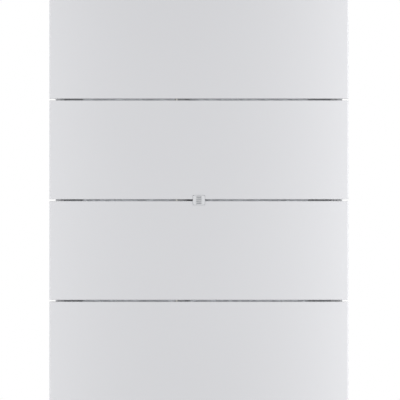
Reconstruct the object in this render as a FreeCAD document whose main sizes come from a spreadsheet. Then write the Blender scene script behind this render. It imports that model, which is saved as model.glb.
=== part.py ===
import FreeCAD, Part
import math
import os

import Sketcher
from FreeCAD import Placement, Rotation, Vector

# Wall battery unit: three slide-in battery modules and a control box stand one above the other in a
# sheet-steel chassis that hangs on two wall rails. Four clip-on covers close the front, with a narrow
# seam between each two, and a charge gauge looks out at the middle seam.
#
# Frame: X to the right, Z up, Y towards the wall. The wall is the plane y = 0, and the origin is the
# centre of the four wall bolts. "depth" below is the distance from the wall, so y = -depth.

# --------------------------------------------------------------------------- driving dimensions, mm
DIMENSIONS = [
    ("slot_pitch", 250.0, "height from one seam to the next"),
    ("seam_gap", 4.5, "open seam between two covers"),
    ("cover_width", 744.0, "front cover, side to side"),
    ("cover_depth", 16.0, "front cover, skin to the rear edge of its returns"),
    ("cover_sheet", 2.0, "aluminium sheet of the covers"),
    ("cover_bend", 1.6, "outer bend radius of the covers, top and bottom"),
    ("cover_side_bend", 4.0, "outer bend radius of the covers, left and right"),
    ("unit_depth", 190.0, "wall to the front of the covers"),
    ("chassis_width", 714.0, "across the side rails"),
    ("chassis_height", 980.0, "length of the side rails"),
    ("chassis_front", 172.0, "depth of the chassis front"),
    ("chassis_sheet", 2.0, "steel sheet of the chassis"),
    ("rail_flange", 13.0, "front and rear flanges of the side rails"),
    ("rear_depth", 24.0, "depth of the rear panel's outer face"),
    ("bolt_spacing_x", 600.0, "wall bolts, side to side"),
    ("bolt_spacing_z", 800.0, "wall bolts, top to bottom"),
    ("bolt_hole_radius", 4.5, "clearance hole for M8"),
    ("wall_rail_length", 660.0, "wall rails"),
    ("wall_rail_sheet", 3.0, "steel of the wall rails and hooks"),
    ("lip_left", 289.0, "shelf lip, left of the centre line"),
    ("lip_right", 272.0, "shelf lip, right of the centre line"),
    ("lip_height", 16.0, "shelf lip"),
    ("module_width", 688.0, "battery module over its end caps"),
    ("module_depth", 138.0, "battery module, front to back"),
    ("module_height", 228.0, "battery module"),
    ("module_front", 166.0, "depth of a module's front"),
    ("sleeve_length", 606.0, "extruded module sleeve"),
    ("sleeve_wall", 2.0, "extruded module sleeve"),
    ("cap_front", 150.0, "depth of the end caps' connector face"),
    ("cap_wall", 3.0, "moulded end cap"),
    ("cell_thickness", 36.2, "prismatic cell"),
    ("cell_pitch", 37.2, "cell to cell, with the pad between"),
    ("cell_depth", 130.3, "prismatic cell"),
    ("cell_height", 200.5, "prismatic cell, without terminals"),
    ("clip_x", 350.5, "cover clips from the centre line"),
    ("clip_inset", 35.0, "cover clips from a cover's top and bottom edge"),
    ("gauge_width", 30.0, "charge gauge bezel"),
    ("gauge_height", 24.5, "charge gauge bezel"),
    ("gauge_clearance", 0.25, "between the bezel and the notched covers"),
    ("window_width", 15.6, "charge gauge window"),
    ("window_height", 20.2, "charge gauge window"),
    ("box_width", 680.0, "control box"),
    ("box_height", 203.0, "control box"),
    ("box_sheet", 1.5, "steel of the control box"),
    ("floor_height", 465.0, "chassis floor below the bolt centre"),
    ("controls_depth", 100.0, "isolator and start button from the wall"),
    ("isolator_drop", 330.0, "isolator below the bolt centre"),
    ("button_drop", 402.0, "start button below the bolt centre"),
    ("knob_radius", 20.0, "isolator knob"),
    ("shaft_radius", 4.0, "isolator shaft"),
    ("plunger_radius", 6.0, "start button"),
    ("running_clearance", 0.05, "radial, shaft and plunger in their bores"),
    ("power_gland_x", 60.0, "spacing of the power glands"),
    ("power_gland_bore", 10.5, "bore radius, power cable"),
    ("data_gland_bore", 6.0, "bore radius, data cable"),
    ("gland_depth", 95.0, "glands and earth stud from the wall"),
    ("earth_stud_radius", 3.0, "M6 earth stud"),
    ("power_cable_radius", 5.0, "link cable, 25 mm2"),
    ("data_cable_radius", 2.4, "data link cable"),
]
SLOTS = 4
MODULES = 3
CELLS = 16


class Size:
    """A number of millimetres, with the spreadsheet expression that gives it."""

    def __init__(self, value, text=None):
        self.value = float(value)
        self.text = text or f"{self.value:.6g}"

    def _join(self, other, sign, value):
        return Size(value, f"({self.text} {sign} {size(other).text})")

    def __add__(self, other):
        return self._join(other, "+", self.value + size(other).value)

    def __sub__(self, other):
        return self._join(other, "-", self.value - size(other).value)

    def __mul__(self, other):
        return self._join(other, "*", self.value * size(other).value)

    def __truediv__(self, other):
        return self._join(other, "/", self.value / size(other).value)

    def __radd__(self, other):
        return size(other) + self

    def __rsub__(self, other):
        return size(other) - self

    def __rmul__(self, other):
        return size(other) * self

    def __neg__(self):
        return Size(-self.value, f"(-1 * {self.text})")


def size(number):
    return number if isinstance(number, Size) else Size(number)


class Dims:
    """The spreadsheet's cells as sizes, by alias."""

    def __init__(self, table):
        for alias, value, _ in table:
            setattr(self, alias, Size(value, "dims." + alias))


doc = FreeCAD.newDocument("wall_battery_unit")
sheet = doc.addObject("Spreadsheet::Sheet", "dims")
for row, (alias, value, note) in enumerate(DIMENSIONS, 1):
    sheet.set(f"A{row}", alias)
    sheet.set(f"B{row}", str(value))
    sheet.set(f"C{row}", note)
    sheet.setAlias(f"B{row}", alias)
doc.recompute()
D = Dims(DIMENSIONS)
NODES = []

FORWARD = Rotation(Vector(1, 0, 0), 90)  # a piece's own +Z turned to the front, -Y
RIGHTWARD = Rotation(Vector(0, 1, 0), 90)  # +Z turned to +X
DOWNWARD = Rotation(Vector(1, 0, 0), 180)  # +Z turned to -Z
UPRIGHT = Rotation()


# --------------------------------------------------------------------------- modelling helpers
def node(label, piece):
    """Names a finished sub-part, which is then written to its own file."""
    piece.Label = label
    NODES.append(piece)
    return piece


def place(piece, x, y, z, turn=UPRIGHT):
    """Puts a piece at a point that follows the spreadsheet."""
    piece.Placement = Placement(Vector(size(x).value, size(y).value, size(z).value), turn)
    for axis, where in (("x", x), ("y", y), ("z", z)):
        piece.setExpression(f"Placement.Base.{axis}", size(where).text)
    return piece


def new_body(name):
    return doc.addObject("PartDesign::Body", name)


def origin_plane(body, role):
    return next(f for f in body.Origin.OriginFeatures if f.Role == role)


def new_sketch(body, role, offset=0.0):
    """A sketch on an origin plane of its body, moved along that plane's normal by offset."""
    sketch = body.newObject("Sketcher::SketchObject", body.Name + "_sketch")
    sketch.AttachmentSupport = (origin_plane(body, role), [""])
    sketch.MapMode = "FlatFace"
    sketch.AttachmentOffset = Placement(Vector(0, 0, size(offset).value), UPRIGHT)
    sketch.setExpression("AttachmentOffset.Base.z", size(offset).text)
    return sketch


def constrain(sketch, kind, *where, to):
    """A dimensional constraint bound to a size."""
    number = sketch.addConstraint(Sketcher.Constraint(kind, *where, to.value))
    sketch.setExpression(f"Constraints[{number}]", to.text)


def polygon(sketch, points):
    """A closed outline, each corner held by its two coordinates."""
    points = [(size(x), size(y)) for x, y in points]
    first = sketch.GeometryCount
    corners = [Vector(x.value, y.value, 0) for x, y in points]
    for start, end in zip(corners, corners[1:] + corners[:1]):
        sketch.addGeometry(Part.LineSegment(start, end))
    for i, (x, y) in enumerate(points):
        following = first + (i + 1) % len(points)
        sketch.addConstraint(Sketcher.Constraint("Coincident", first + i, 2, following, 1))
        constrain(sketch, "DistanceX", -1, 1, first + i, 1, to=x)
        constrain(sketch, "DistanceY", -1, 1, first + i, 1, to=y)
    return sketch


def rectangle(sketch, x0, y0, x1, y1):
    return polygon(sketch, [(x0, y0), (x1, y0), (x1, y1), (x0, y1)])


def centred(sketch, half_x, middle_y, half_y):
    """A rectangle centred on the sketch's Y axis at the height middle_y."""
    return rectangle(sketch, -half_x, middle_y - half_y, half_x, middle_y + half_y)


def circle(sketch, x, y, radius):
    x, y, radius = size(x), size(y), size(radius)
    centre = Vector(x.value, y.value, 0)
    number = sketch.addGeometry(Part.Circle(centre, Vector(0, 0, 1), radius.value))
    constrain(sketch, "DistanceX", -1, 1, number, 3, to=x)
    constrain(sketch, "DistanceY", -1, 1, number, 3, to=y)
    constrain(sketch, "Radius", number, to=radius)
    return sketch


def obround(sketch, x, y, length, width):
    """A slot with round ends along the sketch's X, length from end to end."""
    x, y, length, width = size(x), size(y), size(length), size(width)
    half, radius = (length - width) / 2, width / 2
    up, r = Vector(0, 0, 1), radius.value
    left = Vector(x.value - half.value, y.value, 0)
    right = Vector(x.value + half.value, y.value, 0)
    rise = Vector(0, r, 0)
    top = sketch.addGeometry(Part.LineSegment(right + rise, left + rise))
    west = sketch.addGeometry(Part.ArcOfCircle(Part.Circle(left, up, r), math.pi / 2, 1.5 * math.pi))
    base = sketch.addGeometry(Part.LineSegment(left - rise, right - rise))
    east = sketch.addGeometry(Part.ArcOfCircle(Part.Circle(right, up, r), -math.pi / 2, math.pi / 2))
    for one, other in ((top, west), (west, base), (base, east), (east, top)):
        sketch.addConstraint(Sketcher.Constraint("Tangent", one, 2, other, 1))
    for arc, centre in ((west, x - half), (east, x + half)):
        constrain(sketch, "DistanceX", -1, 1, arc, 3, to=centre)
        constrain(sketch, "DistanceY", -1, 1, arc, 3, to=y)
    constrain(sketch, "Radius", west, to=radius)
    return sketch


def feature(body, kind, expect, **settings):
    """Adds a PartDesign feature and stops if it left the solid's volume as it was."""
    before = body.Shape.Volume if body.Tip else 0.0
    made = body.newObject("PartDesign::" + kind, f"{body.Name}_{kind.lower()}")
    for name, value in settings.items():
        if isinstance(value, Size):
            made.setExpression(name, value.text)
            setattr(made, name, value.value)
        else:
            setattr(made, name, value)
    body.Tip = made
    doc.recompute()
    change = body.Shape.Volume - before
    if change * expect <= 1e-6:
        raise RuntimeError(f"{body.Name}: the {kind} changed the volume by {change:.3f} mm3")
    return made


def pad(body, sketch, length, **more):
    return feature(body, "Pad", 1, Profile=sketch, Length=size(length), **more)


def pocket(body, sketch, length=None, **more):
    """A pocket of that depth against the sketch's normal, or through everything both ways."""
    if length is None:
        return feature(body, "Pocket", -1, Profile=sketch, Type="ThroughAll", Midplane=True, **more)
    return feature(body, "Pocket", -1, Profile=sketch, Length=size(length), **more)


def revolve(body, sketch, axis="V_Axis"):
    return feature(body, "Revolution", 1, Profile=sketch, ReferenceAxis=(sketch, [axis]), Angle=360.0)


def dress(body, kind, amount, wanted):
    """A fillet or chamfer on every edge of the body that wanted(edge) accepts."""
    base = body.Tip
    names = [f"Edge{i}" for i, edge in enumerate(base.Shape.Edges, 1) if wanted(edge)]
    how = {"Radius": size(amount)} if kind == "Fillet" else {"Size": size(amount)}
    before = body.Shape.Volume
    made = body.newObject("PartDesign::" + kind, f"{body.Name}_{kind.lower()}")
    made.Base = (base, names)
    for name, value in how.items():
        setattr(made, name, value.value)
        made.setExpression(name, value.text)
    body.Tip = made
    doc.recompute()
    if not names or abs(body.Shape.Volume - before) < 1e-9:
        raise RuntimeError(f"{body.Name}: the {kind} found no edge to work on")
    return made


def repeat_along(body, original, role, length, count):
    """A linear pattern of a feature along an origin axis of the body."""
    axis = next(f for f in body.Origin.OriginFeatures if f.Role == role)
    made = body.newObject("PartDesign::LinearPattern", body.Name + "_pattern")
    made.Originals = [original]
    made.Direction = (axis, [""])
    made.Length = size(length).value
    made.setExpression("Length", size(length).text)
    made.Occurrences = count
    body.Tip = made
    doc.recompute()
    return made


def edge_runs(edge, axis):
    """Whether an edge is straight along an axis, 0 for X, 1 for Y and 2 for Z."""
    if len(edge.Vertexes) != 2 or edge.Curve.TypeId != "Part::GeomLine":
        return False
    start, end = (v.Point for v in edge.Vertexes)
    return all(abs(start[k] - end[k]) < 1e-6 for k in range(3) if k != axis)


def edge_at(edge, axis, where):
    """Whether all of an edge lies at one coordinate along an axis."""
    box = edge.BoundBox
    low, high = ((box.XMin, box.XMax), (box.YMin, box.YMax), (box.ZMin, box.ZMax))[axis]
    return abs(low - size(where).value) < 1e-4 and abs(high - size(where).value) < 1e-4


def corner_at(edge, x, z=None):
    """Whether an edge starts that far to either side of the centre line, and above or below the origin."""
    point = edge.Vertexes[0].Point
    beside = abs(abs(point.x) - size(x).value) < 1e-3
    return beside and (z is None or abs(abs(point.z) - size(z).value) < 1e-3)


def block(name, x, y, z):
    """A box between two corners, each of x, y and z a (low, high) pair."""
    made = doc.addObject("Part::Box", name)
    for edge, (low, high) in (("Length", x), ("Width", y), ("Height", z)):
        made.setExpression(edge, (size(high) - size(low)).text)
    return place(made, x[0], y[0], z[0])


def rod(name, x, y, z, radius, length, turn=UPRIGHT):
    """A cylinder from a point, along +Z turned by turn."""
    made = doc.addObject("Part::Cylinder", name)
    made.setExpression("Radius", size(radius).text)
    made.setExpression("Height", size(length).text)
    return place(made, x, y, z, turn)


def fuse(name, pieces):
    made = doc.addObject("Part::MultiFuse", name)
    made.Shapes = pieces
    made.Refine = True
    return made


def cut(name, base, tool):
    made = doc.addObject("Part::Cut", name)
    made.Base, made.Tool = base, tool
    return made


def group(name, pieces):
    """Separate solids that share one node."""
    made = doc.addObject("Part::Compound", name)
    made.Links = pieces
    return made


def copy_at(source, x, y, z, turn=UPRIGHT):
    link = doc.addObject("App::Link", source.Name + "_copy")
    link.LinkedObject = source
    link.LinkTransform = True
    return place(link, x, y, z, turn)


def mirror_x(name, source):
    made = doc.addObject("Part::Mirroring", name)
    made.Source = source
    made.Normal = Vector(1, 0, 0)
    return made


def rounded_path(points):
    """A wire of straight runs joined by tangent arcs, each as large as its two runs allow."""
    points = [Vector(*[size(c).value for c in p]) for p in points]
    edges, start = [], points[0]
    for before, corner, after in zip(points, points[1:], points[2:]):
        inward, outward = (before - corner).normalize(), (after - corner).normalize()
        turn = math.pi - inward.getAngle(outward)
        back = 0.45 * min((before - corner).Length, (after - corner).Length)
        radius = back / math.tan(turn / 2)
        middle = (inward + outward).normalize()
        centre = corner + middle * math.hypot(back, radius)
        enter, leave = corner + inward * back, corner + outward * back
        edges.append(Part.LineSegment(start, enter).toShape())
        edges.append(Part.Arc(enter, centre - middle * radius, leave).toShape())
        start = leave
    edges.append(Part.LineSegment(start, points[-1]).toShape())
    return Part.Wire(edges)


def cable(name, points, radius):
    """A round cable along a rounded path, checked against its section times its length."""
    path = rounded_path(points)
    start = path.Vertexes[0].Point
    along = path.Edges[0].tangentAt(path.Edges[0].FirstParameter)
    ring = Part.Wire(Part.makeCircle(size(radius).value, start, along))
    made = doc.addObject("Part::Feature", name)
    made.Shape = path.makePipeShell([ring], True, True)
    expected = math.pi * size(radius).value ** 2 * path.Length
    if abs(made.Shape.Volume - expected) > 0.01 * expected:
        raise RuntimeError(f"{name}: the sweep has {made.Shape.Volume:.0f} of {expected:.0f} mm3")
    return made


def hexagon(sketch, across_flats):
    """A hexagon about the sketch's origin, two corners on its X axis."""
    corner = size(across_flats) / math.sqrt(3)
    half = size(across_flats) / 2
    upper = [(corner, 0), (corner / 2, half), (-corner / 2, half)]
    lower = [(-corner, 0), (-corner / 2, -half), (corner / 2, -half)]
    return polygon(sketch, upper + lower)


# --------------------------------------------------------------------------- shared positions
def slot_centre(number):
    """Height of the middle of a slot, 1 at the top."""
    return D.slot_pitch * ((SLOTS + 1) / 2 - number)


def seam(number):
    """Height of the middle of a seam, 1 under the top cover."""
    return D.slot_pitch * (SLOTS / 2 - number)


half_width = D.chassis_width / 2
half_height = D.chassis_height / 2
rail_inside = half_width - D.chassis_sheet
cover_height = D.slot_pitch - D.seam_gap
module_rise = D.lip_height / 2  # a module stands on its shelf, level with the top of the lip
module_mid = -(D.module_front - D.module_depth / 2)
box_side = D.box_width / 2
box_top = D.box_height - D.floor_height


# --------------------------------------------------------------------------- wall fixing
RAIL_HALF = 30.0  # the rails reach this far above or below their bolts
RAIL_LIP = 20.0  # height of the upper rail's lip
RAIL_TOP = 35.0  # the lower rail reaches this far above its bolts
LIP_OUT = 15.0  # wall to the back of the upper rail's lip
LEDGE_OUT = 22.0  # wall to the front of the lower rail's ledge
HOOK_X = 190.0  # hooks from the centre line
FOOT_X = 200.0  # feet and securing screws from the centre line
SECURING_DEPTH = 14.0  # securing screws from the wall
SECURING_HOLE = 3.3  # clearance hole for M6
SHEET_BEND = 2.5  # outer bend radius of the steel sheet


def make_wall_rails():
    """Two steel rails on the wall: the upper one ends in a hook lip, the lower one in a ledge."""
    thick, upper, lower = D.wall_rail_sheet, D.bolt_spacing_z / 2, -D.bolt_spacing_z / 2
    shelf, lip = upper + RAIL_HALF, upper + RAIL_HALF + RAIL_LIP
    ledge = lower - RAIL_HALF
    profiles = {
        "wall_rail_upper": [
            (0, upper - RAIL_HALF), (0, shelf), (-LIP_OUT, shelf), (-LIP_OUT, lip), (-LIP_OUT - thick, lip),
            (-LIP_OUT - thick, shelf - thick), (-thick, shelf - thick), (-thick, upper - RAIL_HALF),
        ],
        "wall_rail_lower": [
            (0, lower + RAIL_TOP), (0, ledge), (-LEDGE_OUT, ledge), (-LEDGE_OUT, ledge + thick),
            (-thick, ledge + thick), (-thick, lower + RAIL_TOP),
        ],
    }
    for label, outline in profiles.items():
        level = upper if label.endswith("upper") else lower
        body = new_body(label)
        profile = polygon(new_sketch(body, "YZ_Plane"), outline)
        pad(body, profile, D.wall_rail_length, Midplane=True)
        holes = new_sketch(body, "XZ_Plane")
        for side in (-1, 1):
            circle(holes, D.bolt_spacing_x / 2 * side, level, D.bolt_hole_radius)
        pocket(body, holes)
        bend_y, bend_z = (-LIP_OUT - thick, shelf - thick) if level is upper else (0, ledge)
        dress(
            body, "Fillet", SHEET_BEND,
            lambda e: edge_runs(e, 0) and edge_at(e, 1, bend_y) and edge_at(e, 2, bend_z),
        )
        if level is lower:
            screws = new_sketch(body, "XY_Plane", lower)
            for side in (-1, 1):
                circle(screws, Size(FOOT_X) * side, -SECURING_DEPTH, SECURING_HOLE)
            pocket(body, screws)
        free_edge = upper - RAIL_HALF if level is upper else lower + RAIL_TOP
        dress(
            body, "Fillet", 6,
            lambda e: edge_runs(e, 1) and corner_at(e, D.wall_rail_length / 2) and edge_at(e, 2, free_edge),
        )
        node(label, body)


def make_hooks():
    """Hooks on the rear panel that hang over the upper rail, and feet that stand on the lower ledge."""
    back, thick = -D.rear_depth, D.wall_rail_sheet
    over = D.bolt_spacing_z / 2 + RAIL_HALF + RAIL_LIP
    hook = new_body("hanger_hook")
    outline = [
        (back, over - 54), (back, over + thick), (back + 15, over + thick), (back + 15, over - 16),
        (back + 12, over - 16), (back + 12, over), (back + thick, over), (back + thick, over - 54),
    ]
    pad(hook, polygon(new_sketch(hook, "YZ_Plane"), outline), 110, Midplane=True)
    dress(hook, "Fillet", SHEET_BEND, lambda e: edge_runs(e, 0) and edge_at(e, 2, over + thick))

    ledge = -(D.bolt_spacing_z / 2 + RAIL_HALF) + thick
    foot = new_body("securing_foot")
    outline = [
        (back, ledge), (-5, ledge), (-5, ledge + thick), (back + thick, ledge + thick),
        (back + thick, ledge + 42), (back, ledge + 42),
    ]
    pad(foot, polygon(new_sketch(foot, "YZ_Plane"), outline), 60, Midplane=True)
    hole = circle(new_sketch(foot, "XY_Plane", ledge), 0, -SECURING_DEPTH, SECURING_HOLE)
    pocket(foot, hole)
    dress(
        foot, "Fillet", SHEET_BEND,
        lambda e: edge_runs(e, 0) and edge_at(e, 1, back) and edge_at(e, 2, ledge),
    )
    brackets = [copy_at(hook, Size(HOOK_X) * side, 0, 0) for side in (-1, 1)]
    brackets += [copy_at(foot, Size(FOOT_X) * side, 0, 0) for side in (-1, 1)]
    node("hanging_brackets", group("hanging_brackets", brackets))

    screw = new_body("securing_screw")
    head = hexagon(new_sketch(screw, "XY_Plane"), 10)
    pad(screw, head, 4, Reversed=True)
    pad(screw, circle(new_sketch(screw, "XY_Plane"), 0, 0, 3), 16)
    nut = new_body("securing_nut")
    pad(nut, hexagon(new_sketch(nut, "XY_Plane"), 10), 5)
    pocket(nut, circle(new_sketch(nut, "XY_Plane"), 0, 0, 3))
    pieces = []
    for side in (-1, 1):
        pieces.append(copy_at(screw, Size(FOOT_X) * side, -SECURING_DEPTH, ledge - thick))
        pieces.append(copy_at(nut, Size(FOOT_X) * side, -SECURING_DEPTH, ledge + thick))
    node("securing_screws", group("securing_screws", pieces))


# --------------------------------------------------------------------------- chassis
def make_rear_panel():
    """Steel back of the chassis, with swaged ribs that stand towards the wall."""
    body = new_body("rear_panel")
    front = D.rear_depth + D.chassis_sheet
    outline = centred(new_sketch(body, "XZ_Plane", D.rear_depth), half_width, 0, half_height)
    pad(body, outline, D.chassis_sheet)
    rib_half_length, rib_half_height, rib_rise = 270, 16, 6
    levels = [seam(1), seam(1) - 125, seam(2), seam(2) - 125, seam(3)]
    ribs = new_sketch(body, "XZ_Plane", D.rear_depth)
    for level in levels:
        centred(ribs, rib_half_length, level, rib_half_height)
    pad(body, ribs, rib_rise, Reversed=True)
    crest = rib_rise - D.rear_depth.value
    dress(body, "Chamfer", 5.0, lambda e: edge_at(e, 1, crest))
    hollows = new_sketch(body, "XZ_Plane", front)
    for level in levels:
        centred(hollows, rib_half_length - 7, level, rib_half_height - 7)
    pocket(body, hollows, rib_rise)
    dress(body, "Fillet", 4.0, lambda e: edge_runs(e, 1) and corner_at(e, half_width))
    node("rear_panel", body)


def make_side_rail():
    """Steel channel down each side, with vents in its web and holes for the cover clips in its front."""
    body = new_body("side_rail")
    front, back = -D.chassis_front, -D.rear_depth - D.chassis_sheet
    inner = half_width - D.rail_flange
    front_inside, back_inside = front + D.chassis_sheet, back - D.chassis_sheet
    outline = [
        (half_width, front), (inner, front), (inner, front_inside), (rail_inside, front_inside),
        (rail_inside, back_inside), (inner, back_inside), (inner, back), (half_width, back),
    ]
    pad(body, polygon(new_sketch(body, "XY_Plane"), outline), D.chassis_height, Midplane=True)
    dress(body, "Fillet", 3.0, lambda e: edge_runs(e, 2) and edge_at(e, 0, half_width))
    clips = new_sketch(body, "XZ_Plane", D.chassis_front)
    for z in clip_levels():
        circle(clips, D.clip_x, z, 4.5)
    pocket(body, clips, 4)
    vents = new_sketch(body, "YZ_Plane", half_width)
    for number in range(1, SLOTS):
        for step in range(7):
            obround(vents, -98, slot_centre(number) - 36 + 12 * step, 70, 4)
    pocket(body, vents, 5)
    return body


def clip_levels():
    reach = cover_height / 2 - D.clip_inset
    return [slot_centre(number) + reach * side for number in range(1, SLOTS + 1) for side in (1, -1)]


def make_side_rails():
    right = make_side_rail()
    left = mirror_x("side_rail_left", right)
    doc.recompute()
    node("side_rail_left", left)
    # the right rail also has a window for the isolator and the start button
    half_deep, margin = 42, 34
    window = block(
        "controls_window", (rail_inside - 1, half_width + 1),
        (-(D.controls_depth + half_deep), -(D.controls_depth - half_deep)),
        (-D.button_drop - margin, -D.isolator_drop + margin),
    )
    rounded = doc.addObject("Part::Fillet", "controls_window_rounded")
    doc.recompute()
    rounded.Base = window
    rounded.Edges = [(i, 8.0, 8.0) for i, e in enumerate(window.Shape.Edges, 1) if edge_runs(e, 0)]
    node("side_rail_right", cut("side_rail_right", right, rounded))


def make_top_cap():
    """Vented top plate, folded down behind the top cover."""
    body = new_body("top_cap")
    front, back = -D.chassis_front, -D.rear_depth
    top = half_height + D.chassis_sheet
    outline = [
        (back, half_height), (back, top), (front, top), (front, half_height - 22),
        (front + D.chassis_sheet, half_height - 22), (front + D.chassis_sheet, half_height),
    ]
    fold = half_width - D.rail_flange - 1
    pad(body, polygon(new_sketch(body, "YZ_Plane"), outline), fold * 2, Midplane=True)
    sides = new_sketch(body, "XY_Plane", half_height)
    for side in (-1, 1):
        rectangle(sides, fold * side, front, half_width * side, back)
    pad(body, sides, D.chassis_sheet)
    dress(
        body, "Fillet", SHEET_BEND,
        lambda e: edge_runs(e, 0) and edge_at(e, 1, front) and edge_at(e, 2, top),
    )
    vents = new_sketch(body, "XY_Plane", top)
    for depth in (62, 98, 134):
        obround(vents, -270, -depth, 40, 5)
    first = pocket(body, vents, 4)
    repeat_along(body, first, "X_Axis", 540, 10)
    node("top_cap", body)


def make_shelf():
    """Steel shelf that a module slides in on. Its front lip shows as the floor of a seam."""
    body = new_body("shelf")
    front, back = -D.chassis_front, -D.rear_depth - D.chassis_sheet * 2 - 2
    left, right, top = -D.lip_left, D.lip_right, D.lip_height / 2
    plate = new_sketch(body, "XY_Plane", top - D.chassis_sheet)
    # beyond the lip the plate is cut back, for the links that run down the end bays
    bay, wing, step = front + 24, half_width - D.rail_flange - 1, front + 36
    outline = [
        (right, front), (right, bay), (wing, bay), (wing, step), (rail_inside, step), (rail_inside, back),
        (-rail_inside, back), (-rail_inside, step), (-wing, step), (-wing, bay), (left, bay), (left, front),
    ]
    pad(body, polygon(plate, outline), D.chassis_sheet)
    lip = rectangle(new_sketch(body, "XZ_Plane", D.chassis_front - D.chassis_sheet), left, -top, right, top)
    pad(body, lip, D.chassis_sheet)
    tabs = new_sketch(body, "XY_Plane", top)
    for side in (-1, 1):
        rectangle(tabs, (rail_inside - D.chassis_sheet) * side, -136, rail_inside * side, -60)
    pad(body, tabs, 26, Reversed=True)
    dress(body, "Fillet", 1.9, lambda e: edge_runs(e, 0) and edge_at(e, 1, front) and edge_at(e, 2, top))
    # the gauge lead passes through a slot in the lip, beside a tongue that spaces the covers
    slot = new_sketch(body, "XY_Plane", top)
    rectangle(slot, -52, front - 1, -22, front + 12)
    pocket(body, slot, top + 6)
    tongue = new_sketch(body, "XZ_Plane", D.chassis_front)
    rectangle(tongue, -57, -1.5, -53.5, 1.5)
    pad(body, tongue, 9)
    return body


def make_shelves():
    shelf = make_shelf()
    for number, label in enumerate(("shelf_upper", "shelf_middle", "shelf_lower"), 1):
        node(label, group(label, [copy_at(shelf, 0, 0, seam(number))]))


EARTH_STUD_X = 160.0


def gland_places():
    """x, thread radius, bore radius and hexagon of each gland."""
    spacing = D.power_gland_x
    return [
        (-spacing * 2, 16.0, D.power_gland_bore, 36.0),
        (-spacing, 16.0, D.power_gland_bore, 36.0),
        (spacing * 0.5, 10.0, D.data_gland_bore, 24.0),
        (spacing * 1.25, 10.0, D.data_gland_bore, 24.0),
    ]


def make_bottom_plate():
    """Chassis floor: it carries the control box and the glands, and folds down behind the bottom cover."""
    body = new_body("bottom_plate")
    front, back = -D.chassis_front, -D.rear_depth - D.chassis_sheet
    level, fold = -D.floor_height, half_width - D.rail_flange - 1
    outline = [
        (back - 2, level - 2), (back - 2, level), (front, level),
        (front, level - 25), (front + 2, level - 25), (front + 2, level - 2),
    ]
    pad(body, polygon(new_sketch(body, "YZ_Plane"), outline), fold * 2, Midplane=True)
    sides = new_sketch(body, "XY_Plane", level)
    for side in (-1, 1):
        rectangle(sides, fold * side, front + 24, rail_inside * side, back - 2)
    pad(body, sides, 2, Reversed=True)
    tabs = new_sketch(body, "XY_Plane", level)
    for side in (-1, 1):
        rectangle(tabs, (rail_inside - 2) * side, -140, rail_inside * side, -60)
    pad(body, tabs, 22, Reversed=True)
    dress(body, "Fillet", 2.0, lambda e: edge_runs(e, 0) and edge_at(e, 1, front) and edge_at(e, 2, level))
    holes = new_sketch(body, "XY_Plane", level)
    for x, thread, _, _ in gland_places():
        circle(holes, x, -D.gland_depth, thread + 0.3)
    circle(holes, EARTH_STUD_X, -D.gland_depth, D.earth_stud_radius + 1.5)
    pocket(body, holes, 3)
    node("bottom_plate", body)


def make_rivets():
    """Blind rivets through the rail webs into the tabs of the shelves and the floor."""
    rivet = new_body("rivet")
    head = polygon(new_sketch(rivet, "XZ_Plane"), [(0, 0), (3.6, 0), (3.2, 0.8), (1.6, 1.3), (0, 1.4)])
    revolve(rivet, head)
    pieces = []
    levels = [seam(number) - 6 for number in range(1, SLOTS)] + [-D.floor_height - 12]
    for level in levels:
        for depth in (76, 124):
            pieces.append(copy_at(rivet, half_width, -depth, level, RIGHTWARD))
            pieces.append(copy_at(rivet, -half_width, -depth, level, RIGHTWARD.inverted()))
    node("chassis_rivets", group("chassis_rivets", pieces))


def make_clip_sockets():
    """Nylon sockets in the side rails' front flanges, which hold the cover studs."""
    socket = new_body("cover_clip_socket")
    bore, barrel, flange = 3.5, 4.45, 5.6
    wall = [
        (bore, -7), (barrel, -7), (barrel, 0), (flange, 0),
        (flange, 0.8), (flange - 0.4, 1.2), (bore + 0.6, 1.2), (bore, 0.6),
    ]
    revolve(socket, polygon(new_sketch(socket, "XZ_Plane"), wall))
    pieces = [
        copy_at(socket, D.clip_x * side, -D.chassis_front, z, FORWARD)
        for z in clip_levels() for side in (-1, 1)
    ]
    node("cover_clip_sockets", group("cover_clip_sockets", pieces))


# --------------------------------------------------------------------------- front covers
def make_cover(number):
    """Folded aluminium tray. The two at the middle seam are notched round the charge gauge."""
    body = new_body(f"cover_{number}")
    middle, half = slot_centre(number), cover_height / 2
    side, front = D.cover_width / 2, D.unit_depth
    rear = D.unit_depth - D.cover_depth
    pad(body, centred(new_sketch(body, "XZ_Plane", rear), side, middle, half), D.cover_depth)
    dress(body, "Fillet", D.cover_side_bend, lambda e: edge_runs(e, 2) and edge_at(e, 1, -front))
    dress(
        body, "Fillet", D.cover_bend,
        lambda e: not edge_at(e, 1, -rear) and any(edge_at(e, 2, middle + side * half) for side in (-1, 1)),
    )
    wall = D.cover_sheet
    hollow = centred(new_sketch(body, "XZ_Plane", rear), side - wall, middle, half - wall)
    pocket(body, hollow, D.cover_depth - wall, Reversed=True)
    if number in (2, 3):
        wide = D.gauge_width / 2 + D.gauge_clearance
        tall = D.gauge_height / 2 + D.gauge_clearance
        pocket(body, centred(new_sketch(body, "XZ_Plane"), wide, seam(2), tall))
        dress(body, "Fillet", 2.0, lambda e: edge_runs(e, 1) and corner_at(e, wide, tall))
    node(f"cover_{number}", body)


def make_cover_studs(number, stud):
    reach, inner_face = cover_height / 2 - D.clip_inset, D.cover_sheet - D.unit_depth
    pieces = [
        copy_at(stud, D.clip_x * x, inner_face, slot_centre(number) + reach * z, FORWARD.inverted())
        for x in (-1, 1)
        for z in (1, -1)
    ]
    node(f"cover_studs_{number}", group(f"cover_studs_{number}", pieces))


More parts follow.
